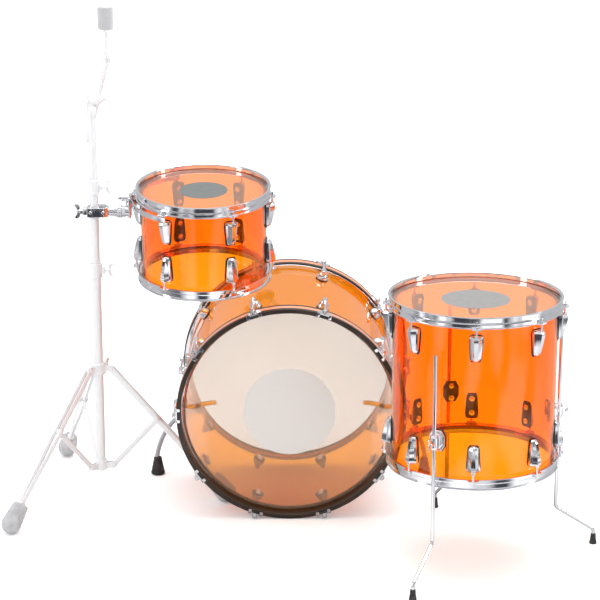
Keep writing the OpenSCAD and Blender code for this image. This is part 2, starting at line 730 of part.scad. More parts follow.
module boom_arm() color(satin) boom_line() difference() {
  union() {
    rod(boom_r, -boom_down, boom_up);
    rod(7.5, -boom_down - 2, -boom_down + 34);
    rod(9, boom_up - 4, boom_up + 8);
    translate([-7, 2, boom_up + 6]) cube([14, 5, 16]);
    translate([0, 0, boom_up + 22]) rod_y(7, 2, 7);
  }
  translate([0, 0, boom_up + 22]) rod_y(cymbal_pin_r + fit, 0, 10);
}

// Frame at the cymbal joint: local Z points up
module cymbal_frame() boom_line() translate([0, 0, boom_up + 22]) rotate([0, -boom_lean, 0]) children();

// Tilting cymbal holder with its rod, seat and wing nut
module cymbal_tilter() color(satin) cymbal_frame() {
  rod_y(9, -6, 1.6);
  rod_y(cymbal_pin_r, -1, 11);
  translate([0, -5, 0]) rotate([90, 0, 0]) wing_screw(4, 14);
  translate([0, cymbal_rod_y, 0]) {
    rod(5, 0, cymbal_seat_z);
    rod(14, cymbal_seat_z - 3, cymbal_seat_z);
    rod(4, cymbal_seat_z - 1, cymbal_seat_z + sleeve_h + 1.5);
  }
}

// Felt sleeve that a cymbal sits on
module cymbal_sleeve() color(light_rubber) cymbal_frame() translate([0, cymbal_rod_y, 0])
  ring(20.5, 4, cymbal_seat_z, cymbal_seat_z + sleeve_h);

// ---------------------------------------------------------------- nodes

bass_shell();
bass_batter_head();
bass_front_head();
bass_hoops();
bass_hoop_inlays();
bass_lugs();
bass_claws();
bass_tension_rods();
lug_gaskets();
spur_brackets();
spur(-1);  // left_spur
spur(1);  // right_spur
spur_foot(-1);  // left_spur_foot
spur_foot(1);  // right_spur_foot
floor_tom_shell();
floor_tom_batter_head();
floor_tom_bottom_head();
floor_tom_hoops();
floor_tom_lugs();
floor_tom_tension_rods();
floor_tom_leg_brackets();
leg_wing_screws();
leg(0);  // front_leg
leg(1);  // right_leg
leg(2);  // back_leg
leg_foot(0);  // front_leg_foot
leg_foot(1);  // right_leg_foot
leg_foot(2);  // back_leg_foot
tom_shell();
tom_batter_head();
tom_bottom_head();
tom_hoops();
tom_lugs();
tom_lug_gaskets();
tom_tension_rods();
tom_suspension_band();
tom_mount_bracket();
tom_mount_arm();
tom_clamp();
tom_clamp_wing_bolt();
stand_base_tube();
stand_hub_collar();
stand_leg(0);  // stand_leg_near
stand_leg(1);  // stand_leg_right
stand_leg(2);  // stand_leg_far
stand_brace(0);  // stand_brace_near
stand_brace(1);  // stand_brace_right
stand_brace(2);  // stand_brace_far
stand_foot(0);  // stand_foot_near
stand_foot(1);  // stand_foot_right
stand_foot(2);  // stand_foot_far
lower_height_lock();
stand_middle_tube();
upper_height_lock();
stand_upper_tube();
boom_tilter_base();
boom_tilter_clamp();
boom_arm();
cymbal_tilter();
cymbal_sleeve();
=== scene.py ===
"""Looks of the acoustic drum kit: amber acrylic shells, film heads, chromed hardware and a pale stand.

Every shape is built in millimetres, in the frame of its own drum or joint, and becomes a piece in
metres in the row frame. Places and main sizes come from the CAD nodes' boxes.
"""
import json
import math

import bmesh
import bpy
from mathutils import Matrix, Vector, noise


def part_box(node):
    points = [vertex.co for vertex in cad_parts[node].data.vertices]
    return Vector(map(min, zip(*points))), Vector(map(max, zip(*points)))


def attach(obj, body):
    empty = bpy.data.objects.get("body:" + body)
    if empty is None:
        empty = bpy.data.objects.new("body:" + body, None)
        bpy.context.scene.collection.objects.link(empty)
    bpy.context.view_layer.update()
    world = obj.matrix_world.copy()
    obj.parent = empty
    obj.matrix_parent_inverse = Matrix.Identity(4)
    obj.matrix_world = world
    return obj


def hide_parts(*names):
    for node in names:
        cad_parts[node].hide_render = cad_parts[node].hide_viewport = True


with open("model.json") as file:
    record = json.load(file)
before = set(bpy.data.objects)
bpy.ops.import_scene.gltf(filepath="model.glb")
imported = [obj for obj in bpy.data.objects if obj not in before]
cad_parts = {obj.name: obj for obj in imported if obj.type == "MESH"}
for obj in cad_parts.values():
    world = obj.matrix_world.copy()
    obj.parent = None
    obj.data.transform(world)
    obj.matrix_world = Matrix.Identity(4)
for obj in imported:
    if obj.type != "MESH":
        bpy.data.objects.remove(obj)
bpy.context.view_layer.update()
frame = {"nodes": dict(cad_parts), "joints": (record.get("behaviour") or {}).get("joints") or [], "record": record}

MM = 0.001
QUARTER = math.radians(90)
NODE_BODY = {node: body for body, nodes in frame["record"]["behaviour"]["bodies"].items() for node in nodes}
NODE_SLOT = {name: node.data.materials[0].name for name, node in frame["nodes"].items()}

# Leans of the drums, and the turn of the first lug in each row, in degrees
TOM_LEAN = 7
BASS_RISE = 3.6
TOM_LUGS = (6, -33 + 180)
FLOOR_TOM_LUGS = (8, -4 + 180)
BASS_LUGS = (10, 18)

# Shell wall, lug gasket and film, and where the tension rods stand outside the wall
WALL = 6.35
GASKET = 2.0
FILM = 0.35
ROD_OFFSET = 16.5
BASS_ROD_OFFSET = 21.5
BASS_HOOP_OUT = 16
BASS_OVERHANG = 30
BASS_HOOP_DEPTH = 38


# ---- shapes, in millimetres


def fillet(points, radius, closed=True, steps=4):
    """The outline with its corners rounded."""
    rounded = []
    last = len(points) - 1
    for i, point in enumerate(points):
        corner = Vector(point)
        if not closed and i in (0, last):
            rounded.append(corner)
            continue
        back = Vector(points[i - 1]) - corner
        ahead = Vector(points[(i + 1) % len(points)]) - corner
        half = back.angle(ahead) / 2
        reach = min(radius / math.tan(half), 0.48 * back.length, 0.48 * ahead.length)
        start = corner + back.normalized() * reach
        end = corner + ahead.normalized() * reach
        for k in range(steps + 1):
            t = k / steps
            rounded.append(start * (1 - t) ** 2 + corner * (2 * t * (1 - t)) + end * t ** 2)
    return rounded


def thickened(line, thickness):
    """Closed outline of a bent sheet whose middle follows an open line."""
    sides = ([], [])
    for i, point in enumerate(line):
        along = (Vector(line[min(i + 1, len(line) - 1)]) - Vector(line[max(i - 1, 0)])).normalized()
        across = Vector((-along.y, along.x)) * thickness / 2
        sides[0].append(Vector(point) + across)
        sides[1].append(Vector(point) - across)
    return sides[0] + sides[1][::-1]


def arc(radius, start, end, steps, centre=(0, 0)):
    """Points of an arc, with its angles in degrees."""
    angles = [math.radians(start + (end - start) * k / steps) for k in range(steps + 1)]
    return [Vector((centre[0] + radius * math.cos(a), centre[1] + radius * math.sin(a))) for a in angles]


def finished(bm):
    """The mesh with its normals pointing out."""
    bmesh.ops.remove_doubles(bm, verts=bm.verts, dist=1e-5)
    bmesh.ops.recalc_face_normals(bm, faces=bm.faces)
    return bm


def bridge(bm, rings, closed_rings=True):
    """Quads between neighbouring rings of vertices, and triangles where a ring is a single pole."""
    for low, high in zip(rings, rings[1:]):
        count = max(len(low), len(high))
        for i in range(count if closed_rings else count - 1):
            j = (i + 1) % count
            if len(low) == 1:
                bm.faces.new((low[0], high[j], high[i]))
            elif len(high) == 1:
                bm.faces.new((low[i], low[j], high[0]))
            else:
                bm.faces.new((low[i], low[j], high[j], high[i]))


def lathe(profile, segments=32, ring=False, start=0, sweep=360):
    """Turned shape about Z from (radius, height) points. A ring's profile is a closed loop."""
    bm = bmesh.new()
    whole = sweep == 360
    count = segments if whole else segments + 1
    rings = []
    for r, z in profile:
        if r < 1e-6:
            rings.append([bm.verts.new((0, 0, z))])
            continue
        angles = [math.radians(start + sweep * k / segments) for k in range(count)]
        rings.append([bm.verts.new((r * math.cos(a), r * math.sin(a), z)) for a in angles])
    bridge(bm, rings + rings[:1] if ring else rings, whole)
    if not whole:
        bm.faces.new([r[0] for r in rings])
        bm.faces.new([r[-1] for r in reversed(rings)])
    elif not ring:
        for end in (rings[0], rings[-1]):
            if len(end) > 1:
                bm.faces.new(end)
    return finished(bm)


def loft(sections):
    """Closed shape through outlines that all have the same number of 3D points."""
    bm = bmesh.new()
    rings = [[bm.verts.new(p) for p in section] for section in sections]
    bridge(bm, rings)
    bm.faces.new(rings[0])
    bm.faces.new(rings[-1])
    return finished(bm)


def prism(outline, low, high):
    """Flat plate between two heights with a given outline in XY."""
    return loft([[(x, y, z) for x, y in outline] for z in (low, high)])


def rod(radius, low, high, segments=24, edge=0.4):
    """Round bar along Z with chamfered ends."""
    profile = [(0, low), (radius - edge, low), (radius, low + edge), (radius, high - edge),
               (radius - edge, high), (0, high)]
    return lathe(profile, segments)


def turned(profile, edge, segments, steps=4):
    """Solid turned about Z from an open profile with rounded corners."""
    return lathe(fillet(profile, edge, closed=False, steps=steps), segments)


def turned_ring(section, edge, segments, steps=4, **words):
    """Ring turned about Z from a closed section with rounded corners."""
    return lathe(fillet(section, edge, steps=steps), segments, ring=True, **words)


def square_ring(inner, outer, low, high, edge, segments, steps=4, **words):
    """Ring with a rounded rectangular section."""
    section = [(inner, low), (outer, low), (outer, high), (inner, high)]
    return turned_ring(section, edge, segments, steps, **words)


def thread(radius, low, high, pitch=1.0, segments=16):
    """Threaded bar along Z, as a stack of ridges."""
    turns = max(1, round((high - low) / pitch))
    profile = [(0, low)]
    for k in range(turns):
        z = low + k * pitch
        profile += [(radius - 0.45, z), (radius, z + pitch / 2)]
    return lathe(profile + [(radius - 0.45, low + turns * pitch), (0, low + turns * pitch)], segments)


def wrapped(outline, radius, inner, outer, steps=8):
    """Plate with an outline in (across, height) bent round a drum, facing local +Y."""
    bm = bmesh.new()
    left, right = min(p[0] for p in outline), max(p[0] for p in outline)
    for y in (0, 1):
        flat = [bm.verts.new((x, y, z)) for x, z in outline]
        bm.faces.new(flat)
    bm.verts.ensure_lookup_table()
    count = len(outline)
    for i in range(count):
        j = (i + 1) % count
        bm.faces.new((bm.verts[i], bm.verts[j], bm.verts[count + j], bm.verts[count + i]))
    for k in range(1, steps):
        cut = left + (right - left) * k / steps
        geom = bm.verts[:] + bm.edges[:] + bm.faces[:]
        bmesh.ops.bisect_plane(bm, geom=geom, plane_co=(cut, 0, 0), plane_no=(1, 0, 0))
    for vert in bm.verts:
        reach = outer if vert.co.y > 0.5 else inner
        angle = vert.co.x / radius
        vert.co = Vector((reach * math.sin(angle), reach * math.cos(angle), vert.co.z))
    return finished(bm)


def softened(bm, width=0.6, segments=2, angle=28):
    """The shape with its sharp edges rounded over."""
    sharp = [e for e in bm.edges if len(e.link_faces) == 2 and e.calc_face_angle(0) > math.radians(angle)]
    bmesh.ops.bevel(bm, geom=sharp, offset=width, segments=segments, profile=0.5, affect="EDGES",
                    clamp_overlap=True)
    return bm


def soft_block(low, high, width=0.6, segments=2):
    """Box between two corners with rounded edges."""
    outline = [(low[0], low[1]), (high[0], low[1]), (high[0], high[1]), (low[0], high[1])]
    return softened(prism(outline, low[2], high[2]), width, segments)


def moved(bm, *matrices):
    """The shape after one or more moves, the last one applied first."""
    total = Matrix.Identity(4)
    for matrix in matrices:
        total = total @ matrix
    bmesh.ops.transform(bm, matrix=total, verts=bm.verts)
    if total.determinant() < 0:
        bmesh.ops.reverse_faces(bm, faces=bm.faces)
    return bm


def joined(*shapes):
    """Several shapes as one mesh."""
    total = bmesh.new()
    for shape in shapes:
        mesh = bpy.data.meshes.new("scratch")
        shape.to_mesh(mesh)
        total.from_mesh(mesh)
        bpy.data.meshes.remove(mesh)
        shape.free()
    return total


def repeated(shape, places):
    """Copies of a shape at each place."""
    return joined(*[moved(shape.copy(), place) for place in places])


def box(node):
    """Corners of a CAD node's box."""
    return [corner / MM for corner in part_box(node)]


def shift(x=0, y=0, z=0):
    return Matrix.Translation((x, y, z))


def turn(degrees, axis):
    return Matrix.Rotation(math.radians(degrees), 4, axis)


# Quarter turns that send local +Z to another axis
TO_X, TO_MINUS_X = turn(90, "Y"), turn(-90, "Y")
TO_Y, TO_MINUS_Y = turn(-90, "X"), turn(90, "X")


def placed(name, data):
    """A new object in the scene."""
    made = bpy.data.objects.new(name, data)
    bpy.context.scene.collection.objects.link(made)
    return made


def piece(name, shape, finish=None, node=None, body=None, slot=None, place=None, sharp=32):
    """A finished piece in the row frame. With a node, it stands for that CAD node and rides with it.

    Without a finish of its own, it takes the one of its slot.
    """
    if place is not None:
        moved(shape, place)
    moved(shape, Matrix.Scale(MM, 4))
    mesh = bpy.data.meshes.new(name)
    shape.to_mesh(mesh)
    shape.free()
    mesh.shade_smooth()
    mesh.set_sharp_from_angle(angle=math.radians(sharp))
    mesh.materials.append(finish or FINISHES[slot or NODE_SLOT[node]])
    made = placed(name, mesh)
    made.modifiers.new("flat_faces_stay_flat", "WEIGHTED_NORMAL").keep_sharp = True
    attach(made, body or NODE_BODY[node])
    if node:
        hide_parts(node)
    return made


# ---- finishes


def filled(tree, node, **inputs):
    """The node with its inputs set. Each one is a value, or another node's output to link."""
    for name, value in inputs.items():
        socket = node.inputs[name.replace("_", " ")]
        if isinstance(value, bpy.types.NodeSocket):
            tree.links.new(value, socket)
        else:
            socket.default_value = value
    return node


def wired(tree, kind, **inputs):
    return filled(tree, tree.nodes.new("ShaderNode" + kind), **inputs)


def ranged(tree, source, start, end, low=0, high=1):
    """The source's range from start to end, spread over low to high."""
    node = wired(tree, "MapRange", Value=source, From_Min=start, From_Max=end, To_Min=low, To_Max=high)
    return node.outputs["Result"]


def arithmetic(tree, operation, first, second):
    node = tree.nodes.new("ShaderNodeMath")
    node.operation = operation
    node.use_clamp = True
    tree.links.new(first, node.inputs[0])
    tree.links.new(second, node.inputs[1])
    return node.outputs["Value"]


def mixed_colour(tree, factor, first, second):
    node = tree.nodes.new("ShaderNodeMix")
    node.data_type = "RGBA"
    return filled(tree, node, Factor=factor, A=first, B=second).outputs["Result"]


def ramp(tree, source, stops):
    """Colour along a ramp of (position, colour) stops."""
    node = wired(tree, "ValToRGB", Fac=source)
    elements = node.color_ramp.elements
    while len(elements) < len(stops):
        elements.new(0.5)
    for element, (position, colour) in zip(elements, stops):
        element.position = position
        element.color = (*colour, 1)
    return node.outputs["Color"]


class Finish:
    """A material with one Principled shader. Constant values go straight onto its sockets."""

    def __init__(self, name, **sockets):
        self.material = bpy.data.materials.new(name)
        self.material.use_nodes = True
        self.tree = self.material.node_tree
        self.shader = filled(self.tree, self.tree.nodes["Principled BSDF"], **sockets)
        self.coordinates = wired(self.tree, "TexCoord").outputs["Object"]

    def noise(self, scale, detail=4, stretch=None, roughness=0.5):
        """Noise with features of about 1 / scale metres, stretched along an axis if asked."""
        source = self.coordinates
        if stretch:
            source = wired(self.tree, "Mapping", Vector=source, Scale=stretch).outputs["Vector"]
        node = wired(self.tree, "TexNoise", Vector=source, Scale=scale, Detail=detail, Roughness=roughness)
        return node.outputs["Fac"]

    def cells(self, scale):
        """Distance to the nearest of many scattered points."""
        return wired(self.tree, "TexVoronoi", Vector=self.coordinates, Scale=scale).outputs["Distance"]

    def roughness(self, source, low, high, start=0.3, end=0.7):
        """Roughness from low to high while the source goes from start to end."""
        filled(self.tree, self.shader, Roughness=ranged(self.tree, source, start, end, low, high))
        return self

    def colours(self, source, stops):
        filled(self.tree, self.shader, Base_Color=ramp(self.tree, source, stops))
        return self

    def bump(self, source, height, strength=1.0):
        """Bump whose full height is in metres. A second bump rides on the first."""
        node = wired(self.tree, "Bump", Height=source, Strength=strength, Distance=height)
        normal = self.shader.inputs["Normal"]
        if normal.is_linked:
            self.tree.links.new(normal.links[0].from_socket, node.inputs["Normal"])
        self.tree.links.new(node.outputs["Normal"], normal)
        return self


def amber_acrylic():
    """Clear cast acrylic with part of its colour in the sheet, so slanted views look deeper."""
    finish = Finish("amber_acrylic", Base_Color=(1, 0.49, 0.02, 1), Transmission_Weight=1.0, IOR=1.49,
                    Specular_IOR_Level=0.25)
    finish.roughness(finish.noise(26, 6), 0.0, 0.035, 0.45, 0.8)
    finish.bump(finish.noise(7, 2), 0.0006, 0.25)
    tint = wired(finish.tree, "VolumeAbsorption", Color=(1.0, 0.76, 0.0, 1), Density=200)
    filled(finish.tree, finish.tree.nodes["Material Output"], Volume=tint.outputs["Volume"])
    return finish.material


def clear_film(name, colour, clearness):
    """Thin clear polyester film with a tint. A warm tint is painted light: it stands in for the amber shell's
    light on the film.
    """
    finish = Finish(name, Base_Color=(*colour, 1), Transmission_Weight=clearness, IOR=1.38)
    finish.roughness(finish.noise(18, 5), 0.01, 0.06)
    return finish.bump(finish.noise(5, 2), 0.0008, 0.2).material


def frosted_film():
    """Sanded film that veils what is behind it."""
    finish = Finish("frosted_film", Base_Color=(0.46, 0.28, 0.17, 1), Alpha=0.25, IOR=1.2)
    finish.roughness(finish.noise(40, 6), 0.32, 0.46)
    return finish.bump(finish.noise(900, 2), 0.00008, 0.4).material


def printed_dot(name, colour, gloss):
    """Laminated disc with a fine printed stipple."""
    finish = Finish(name)
    darker = [0.93 * c for c in colour]
    finish.colours(finish.cells(900), [(0.25, darker), (0.6, colour)])
    finish.roughness(finish.noise(60, 4), gloss, gloss + 0.12)
    return finish.bump(finish.cells(900), 0.00005, 0.3).material


def chrome():
    """Bright plating with faint wiping marks."""
    finish = Finish("chrome", Base_Color=(0.83, 0.84, 0.86, 1), Metallic=1.0)
    smudge = finish.noise(45, 5)
    wipes = finish.noise(260, 3, stretch=(1, 1, 0.12))
    finish.roughness(arithmetic(finish.tree, "MULTIPLY", smudge, wipes), 0.035, 0.13, 0.18, 0.4)
    return finish.bump(finish.noise(90, 3), 0.00012, 0.25).material


def satin_steel():
    """Pale brushed plating of the stand."""
    finish = Finish("satin_steel", Metallic=0.4)
    grain = finish.noise(800, 3, stretch=(1, 1, 0.05))
    finish.colours(grain, [(0.3, (0.84, 0.85, 0.86)), (0.7, (0.93, 0.93, 0.94))])
    finish.roughness(finish.noise(120, 4), 0.4, 0.54)
    return finish.bump(grain, 0.00002, 0.15).material


def black_lacquer():
    """Brushed-on black lacquer over wood, polished."""
    finish = Finish("black_lacquer", Coat_Weight=0.25, Coat_Roughness=0.12, Specular_IOR_Level=0.35)
    grain = finish.noise(120, 5, stretch=(0.2, 1, 0.2))
    finish.colours(grain, [(0.35, (0.014, 0.008, 0.005)), (0.75, (0.040, 0.022, 0.012))])
    finish.roughness(grain, 0.3, 0.46)
    return finish.bump(grain, 0.0001, 0.3).material


def orange_inlay():
    """Sparkling plastic strip let into the bass hoops."""
    finish = Finish("orange_inlay", Coat_Weight=0.5, Coat_Roughness=0.05)
    finish.colours(finish.cells(700), [(0.1, (0.70, 0.20, 0.09)), (0.7, (0.88, 0.34, 0.18))])
    return finish.roughness(finish.noise(300, 3), 0.22, 0.38).material


def rubber(name, dark, light):
    """Moulded rubber with a fine grain and dusty patches."""
    finish = Finish(name)
    finish.colours(finish.noise(60, 6), [(0.35, dark), (0.75, light)])
    finish.roughness(finish.noise(150, 4), 0.55, 0.8)
    return finish.bump(finish.noise(1400, 3), 0.00015, 0.5).material


def grey_felt():
    """Pressed wool felt with short fibres."""
    finish = Finish("grey_felt", Sheen_Weight=0.6, Sheen_Roughness=0.5, Roughness=0.95)
    fibres = finish.noise(900, 6, stretch=(1, 1, 0.35), roughness=0.7)
    finish.colours(fibres, [(0.35, (0.30, 0.30, 0.31)), (0.7, (0.56, 0.56, 0.58))])
    finish.bump(finish.noise(160, 3), 0.0012, 0.5)
    return finish.bump(fibres, 0.0006, 0.7).material


FINISHES = {
    "amber_acrylic": amber_acrylic(),
    "clear_film": clear_film("clear_film", (0.68, 0.65, 0.61), 1.0),
    "frosted_film": frosted_film(),
    "chrome": chrome(),
    "satin_steel": satin_steel(),
    "black_lacquer": black_lacquer(),
    "orange_inlay": orange_inlay(),
    "black_rubber": rubber("black_rubber", (0.012, 0.012, 0.012), (0.045, 0.043, 0.042)),
    "grey_rubber": rubber("grey_rubber", (0.35, 0.35, 0.36), (0.50, 0.50, 0.51)),
    "grey_felt": grey_felt(),
}
# painted light: the peach and orange tints of the tom and floor tom films stand in for the amber shell's light on
# the heads
BATTER_FILM = clear_film("batter_film", (0.95, 0.60, 0.42), 0.90)
BOTTOM_FILM = clear_film("bottom_film", (1.0, 0.76, 0.50), 1.0)
DOT_GREY = printed_dot("dot_grey", (0.115, 0.125, 0.12), 0.3)
DOT_PALE = printed_dot("dot_pale", (0.235, 0.23, 0.225), 0.36)
DOT_WHITE = printed_dot("dot_white", (0.62, 0.59, 0.56), 0.35)


# ---- drums


class Drum:
    """Frame, radius and length of a shell, from its CAD box. Local Z is the axis."""

    def __init__(self, prefix, tilt, upright, lugs):
        self.prefix = prefix
        low, high = box(prefix + "_shell")
        size = high - low
        tilt = math.radians(tilt)
        span = size.z if upright else size.y
        self.r = size.x / 2
        self.far_head = "bottom" if upright else "front"
        self.length = (span - 2 * self.r * math.sin(tilt)) / math.cos(tilt)
        lean = Matrix.Rotation(tilt if upright else QUARTER + tilt, 4, "X")
        self.frame = shift(*((low + high) / 2)) @ lean
        count, first = lugs
        self.lug_turns = [turn(first + 360 * i / count, "Z") for i in range(count)]

    @property
    def ends(self):
        """Frames at both bearing edges, with local Z pointing out of the drum."""
        top = shift(z=self.length / 2)
        return [top, Matrix.Scale(-1, 4, (0, 0, 1)) @ top]

    def lug_places(self, z=0):
        """Frames at every lug of both rows: local Y points outwards and Z from the edge outwards."""
        return [end @ shift(z=z) @ spin for end in self.ends for spin in self.lug_turns]

    def piece(self, name, shape, finish=None, **words):
        return piece(f"{self.prefix}_{name}", shape, finish, place=self.frame, **words)


def shell_shape(drum, segments=256):
    """Acrylic tube with rounded bearing edges."""
    half, r = drum.length / 2, drum.r
    profile = [(r - WALL, -half + 3), (r - WALL + 3, -half), (r, -half), (r, half), (r - WALL + 3, half),
               (r - WALL, half - 3)]
    return turned_ring(profile, 1.2, segments, steps=3)


def film_shape(drum, crown=0.25, drop=9, segments=192):
    """Head film: flat, with a collar over the bearing edge and a skirt down to the flesh hoop."""
    r = drum.r
    middle = [(r * k / 10, crown) for k in range(9)]
    edge = fillet([(0.92 * r, crown), (r + 0.8, crown + 0.4), (r + 0.9, -drop)], 2.5, closed=False)
    return lathe([(max(0.0, p.x), p.y) for p in thickened(middle + edge, FILM)], segments)


def heads(drum, finishes, flesh_r, flesh_z):
    """Both heads, each with its own flesh hoop under the counter hoop."""
    for end, side, finish in zip(drum.ends, ("batter", drum.far_head), finishes):
        node = f"{drum.prefix}_{side}_head"
        drum.piece(f"{side}_film", moved(film_shape(drum), end), finish, node=node, sharp=50)
        ring = square_ring(drum.r + 1.4, flesh_r, flesh_z - 7, flesh_z, 1.5, 192)
        drum.piece(f"{side}_flesh_hoop", moved(ring, end), body=NODE_BODY[node], slot="chrome")


def centre_dot(drum, radius, finish):
    """Laminated disc in the middle of the batter head."""
    z = 0.25 + FILM / 2
    profile = [(0, z), (radius, z), (radius, z + 0.2), (radius - 0.3, z + 0.3), (0, z + 0.3)]
    disc = moved(lathe(profile, 128), drum.ends[0])
    drum.piece("dot", disc, finish, body=NODE_BODY[drum.prefix + "_batter_head"])


# Flanged hoop: the middle of its sheet, as (radius past the wall, height past the bearing edge)
HOOP_LINE = [(14, -12.85), (10.15, -12.85), (10.15, -2.15), (6.15, -2.15), (6.15, 12.85), (12.6, 12.85)]
HOOP_SHEET = 2.3
EAR_Z = -14
EAR_OUTLINE = [(-15, 9.5), (15, 9.5), (11, 25), (-11, 25)]


def flanged_hoop(drum):
    """Triple-flanged steel hoop with an ear at every lug."""
    line = fillet([(drum.r + x, z) for x, z in HOOP_LINE], 2.2, closed=False, steps=4)
    hoop = turned_ring(thickened(line, HOOP_SHEET), 0.5, 216, steps=2)
    outline = fillet([(x, drum.r + y) for x, y in EAR_OUTLINE], 4, steps=5)
    ear = softened(prism(outline, EAR_Z, EAR_Z + HOOP_SHEET), 0.5)
    gusset = [(-7, 9.5), (7, 9.5), (5, 14.5), (-5, 14.5)]
    rib = softened(prism([(x, drum.r + y) for x, y in gusset], EAR_Z + 1, EAR_Z + 5), 0.8)
    return joined(hoop, repeated(joined(ear, rib), drum.lug_turns))


def flanged_hoops(drum):
    hoops = joined(*[moved(flanged_hoop(drum), end) for end in drum.ends])
    drum.piece("flanged_hoops", hoops, node=drum.prefix + "_hoops")


# Tom lug: height, width, side height, depth and half width of its ridge, from the narrow end up
LUG_SECTIONS = [(-33, 9, 3.4, 6, 1.6), (-31.8, 15, 4.4, 8, 2), (-29, 20.5, 6, 11, 2.6),
                (-24, 25, 7.4, 14, 3.4), (-6, 28.5, 8.5, 18.6, 4.4), (17, 32, 10, 23.5, 5.4),
                (26, 33, 10, 24, 5.6), (30.5, 31.5, 9, 21.5, 5), (33, 26, 7, 17, 4.4)]
LUG_CENTRE = -64
BASS_LUG_CENTRE = -62
LUG_SCREWS = (-20, 18)
BASS_LUG_SCREWS = (-7, 7)


def lug_section(r, z, width, side, depth, ridge):
    """Cross-section of a tom lug whose base lies on the curved gasket."""
    base = r + GASKET + 0.1
    foot = math.sqrt(base ** 2 - (width / 2) ** 2)
    bottom = [(width / 2 * k, foot if abs(k) == 1 else base) for k in (1, 0, -1)]
    top = [(-width / 2, base + side - 3), (-width / 2 + 3.4, base + side), (-ridge, base + depth - GASKET),
           (ridge, base + depth - GASKET), (width / 2 - 3.4, base + side), (width / 2, base + side - 3)]
    return [(x, y, z) for x, y in bottom + top]


def lug(drum):
    """Tapered cast lug with a raised ridge and the collar of its swivel nut."""
    body = softened(loft([lug_section(drum.r, *row) for row in LUG_SECTIONS]), 0.7, angle=12)
    ring = [(3.4, 31), (5.6, 31), (5.6, 34.2), (5.1, 34.8), (3.4, 34.8)]
    collar = moved(lathe(ring, 24, ring=True), shift(y=drum.r + ROD_OFFSET))
    return joined(body, collar)


def pan_screw(r, z):
    """Screw head with a washer inside the shell, on the axis of a lug screw."""
    washer = square_ring(2, 7.5, 0, 1.2, 0.3, 24, steps=2)
    head = lathe([(0, 1.2), (5, 1.2), (5, 2.4), (4.2, 3.8), (2.2, 4.6), (1.6, 3.4), (0, 3.4)], 24)
    shank = rod(2.2, -WALL - 1, 1.3, 12)
    return moved(joined(washer, head, shank), shift(0, r - WALL - 0.1, z), TO_MINUS_Y)


def tension_rod(length, threaded):
    """Rod hanging down from its washer at height 0, with a square drum-key head above."""
    washer = square_ring(3.1, 5.8, 0, 1.3, 0.3, 24, steps=2)
    shank = rod(3, threaded - length, 1.4, 16, 0.2)
    screw = thread(3, -length, threaded - length)
    collar = lathe([(0, 1.3), (4.7, 1.3), (4.9, 2), (4.6, 3.6), (3.4, 4.2), (0, 4.2)], 24)
    key = soft_block((-2.6, -2.6, 4), (2.6, 2.6, 11), 0.5)
    return joined(washer, shank, screw, collar, key)


def key_rods(drum, length, threaded, out, z):
    """Tension rods of both rows, a distance outside the wall and a height past the bearing edge."""
    rods = moved(tension_rod(length, threaded), shift(0, drum.r + out, z))
    drum.piece("key_rods", repeated(rods, drum.lug_places()), node=drum.prefix + "_tension_rods")


def lug_screws(drum, places, heights):
    """Screw heads inside the shell, behind every lug."""
    screws = joined(*[pan_screw(drum.r, z) for z in heights])
    drum.piece("lug_screws", repeated(screws, places), body=NODE_BODY[drum.prefix + "_lugs"], slot="chrome")


def tom_lug_sets(drum):
    """Lugs with their inner screws and tension rods, at both ends of a tom."""
    places = drum.lug_places(LUG_CENTRE)
    drum.piece("cast_lugs", repeated(lug(drum), places), node=drum.prefix + "_lugs")
    lug_screws(drum, places, LUG_SCREWS)
    key_rods(drum, 46, 22, ROD_OFFSET, EAR_Z + HOOP_SHEET)


# ---- bass drum


def bass_hoop_profile(r):
    """Round-edged wooden hoop with a shallow groove for its inlay."""
    low, high = BASS_OVERHANG - BASS_HOOP_DEPTH, BASS_OVERHANG
    middle, outer = (low + high) / 2, r + BASS_HOOP_OUT
    inner = r + 4
    lower = fillet([(inner, low), (outer, low), (outer, middle - 8)], 2.5, closed=False)
    upper = fillet([(outer, middle + 8), (outer, high), (inner, high), (inner, low)], 2.5, closed=False)
    groove = [(outer - 1, middle - 8), (outer - 1, middle + 8)]
    return lower + groove + upper[:-1]


def bass_hoops(drum):
    """Two lacquered hoops and the coloured strips let into them."""
    hoop = lathe(bass_hoop_profile(drum.r), 256, ring=True)
    drum.piece("wooden_hoops", repeated(hoop, drum.ends), node="bass_hoops")
    outer, middle = drum.r + BASS_HOOP_OUT, BASS_OVERHANG - BASS_HOOP_DEPTH / 2
    strip = square_ring(outer - 0.95, outer + 0.1, middle - 7.9, middle + 7.9, 0.3, 256, steps=2)
    drum.piece("inlay_strips", repeated(strip, drum.ends), node="bass_hoop_inlays")


def bass_lug(r):
    """Round cast lug with a barrel along the drum for the tension rod."""
    base = r + GASKET
    dome = [(0, 0), (15, 0), (15.4, 1.2), (15, 5), (14, 9), (11.8, 13.4), (8.4, 17.4), (4.4, 19.6),
            (0, 20.3)]
    body = moved(lathe(dome, 40), shift(y=base), TO_Y)
    barrel = turned([(0, -11), (6.6, -11), (6.6, 20), (5.2, 23), (0, 23)], 1.6, 32)
    moved(barrel, shift(y=r + BASS_ROD_OFFSET))
    neck = soft_block((-6, base, -8), (6, r + BASS_ROD_OFFSET, 15), 1.2)
    return joined(body, barrel, neck)


# Claw: its sheet, and its outline as (across, height past the hoop's face)
CLAW_SHEET = 2.0
CLAW_OUTLINE = [(-20, 0), (20, 0), (20, -5), (9, -21), (-9, -21), (-20, -5)]


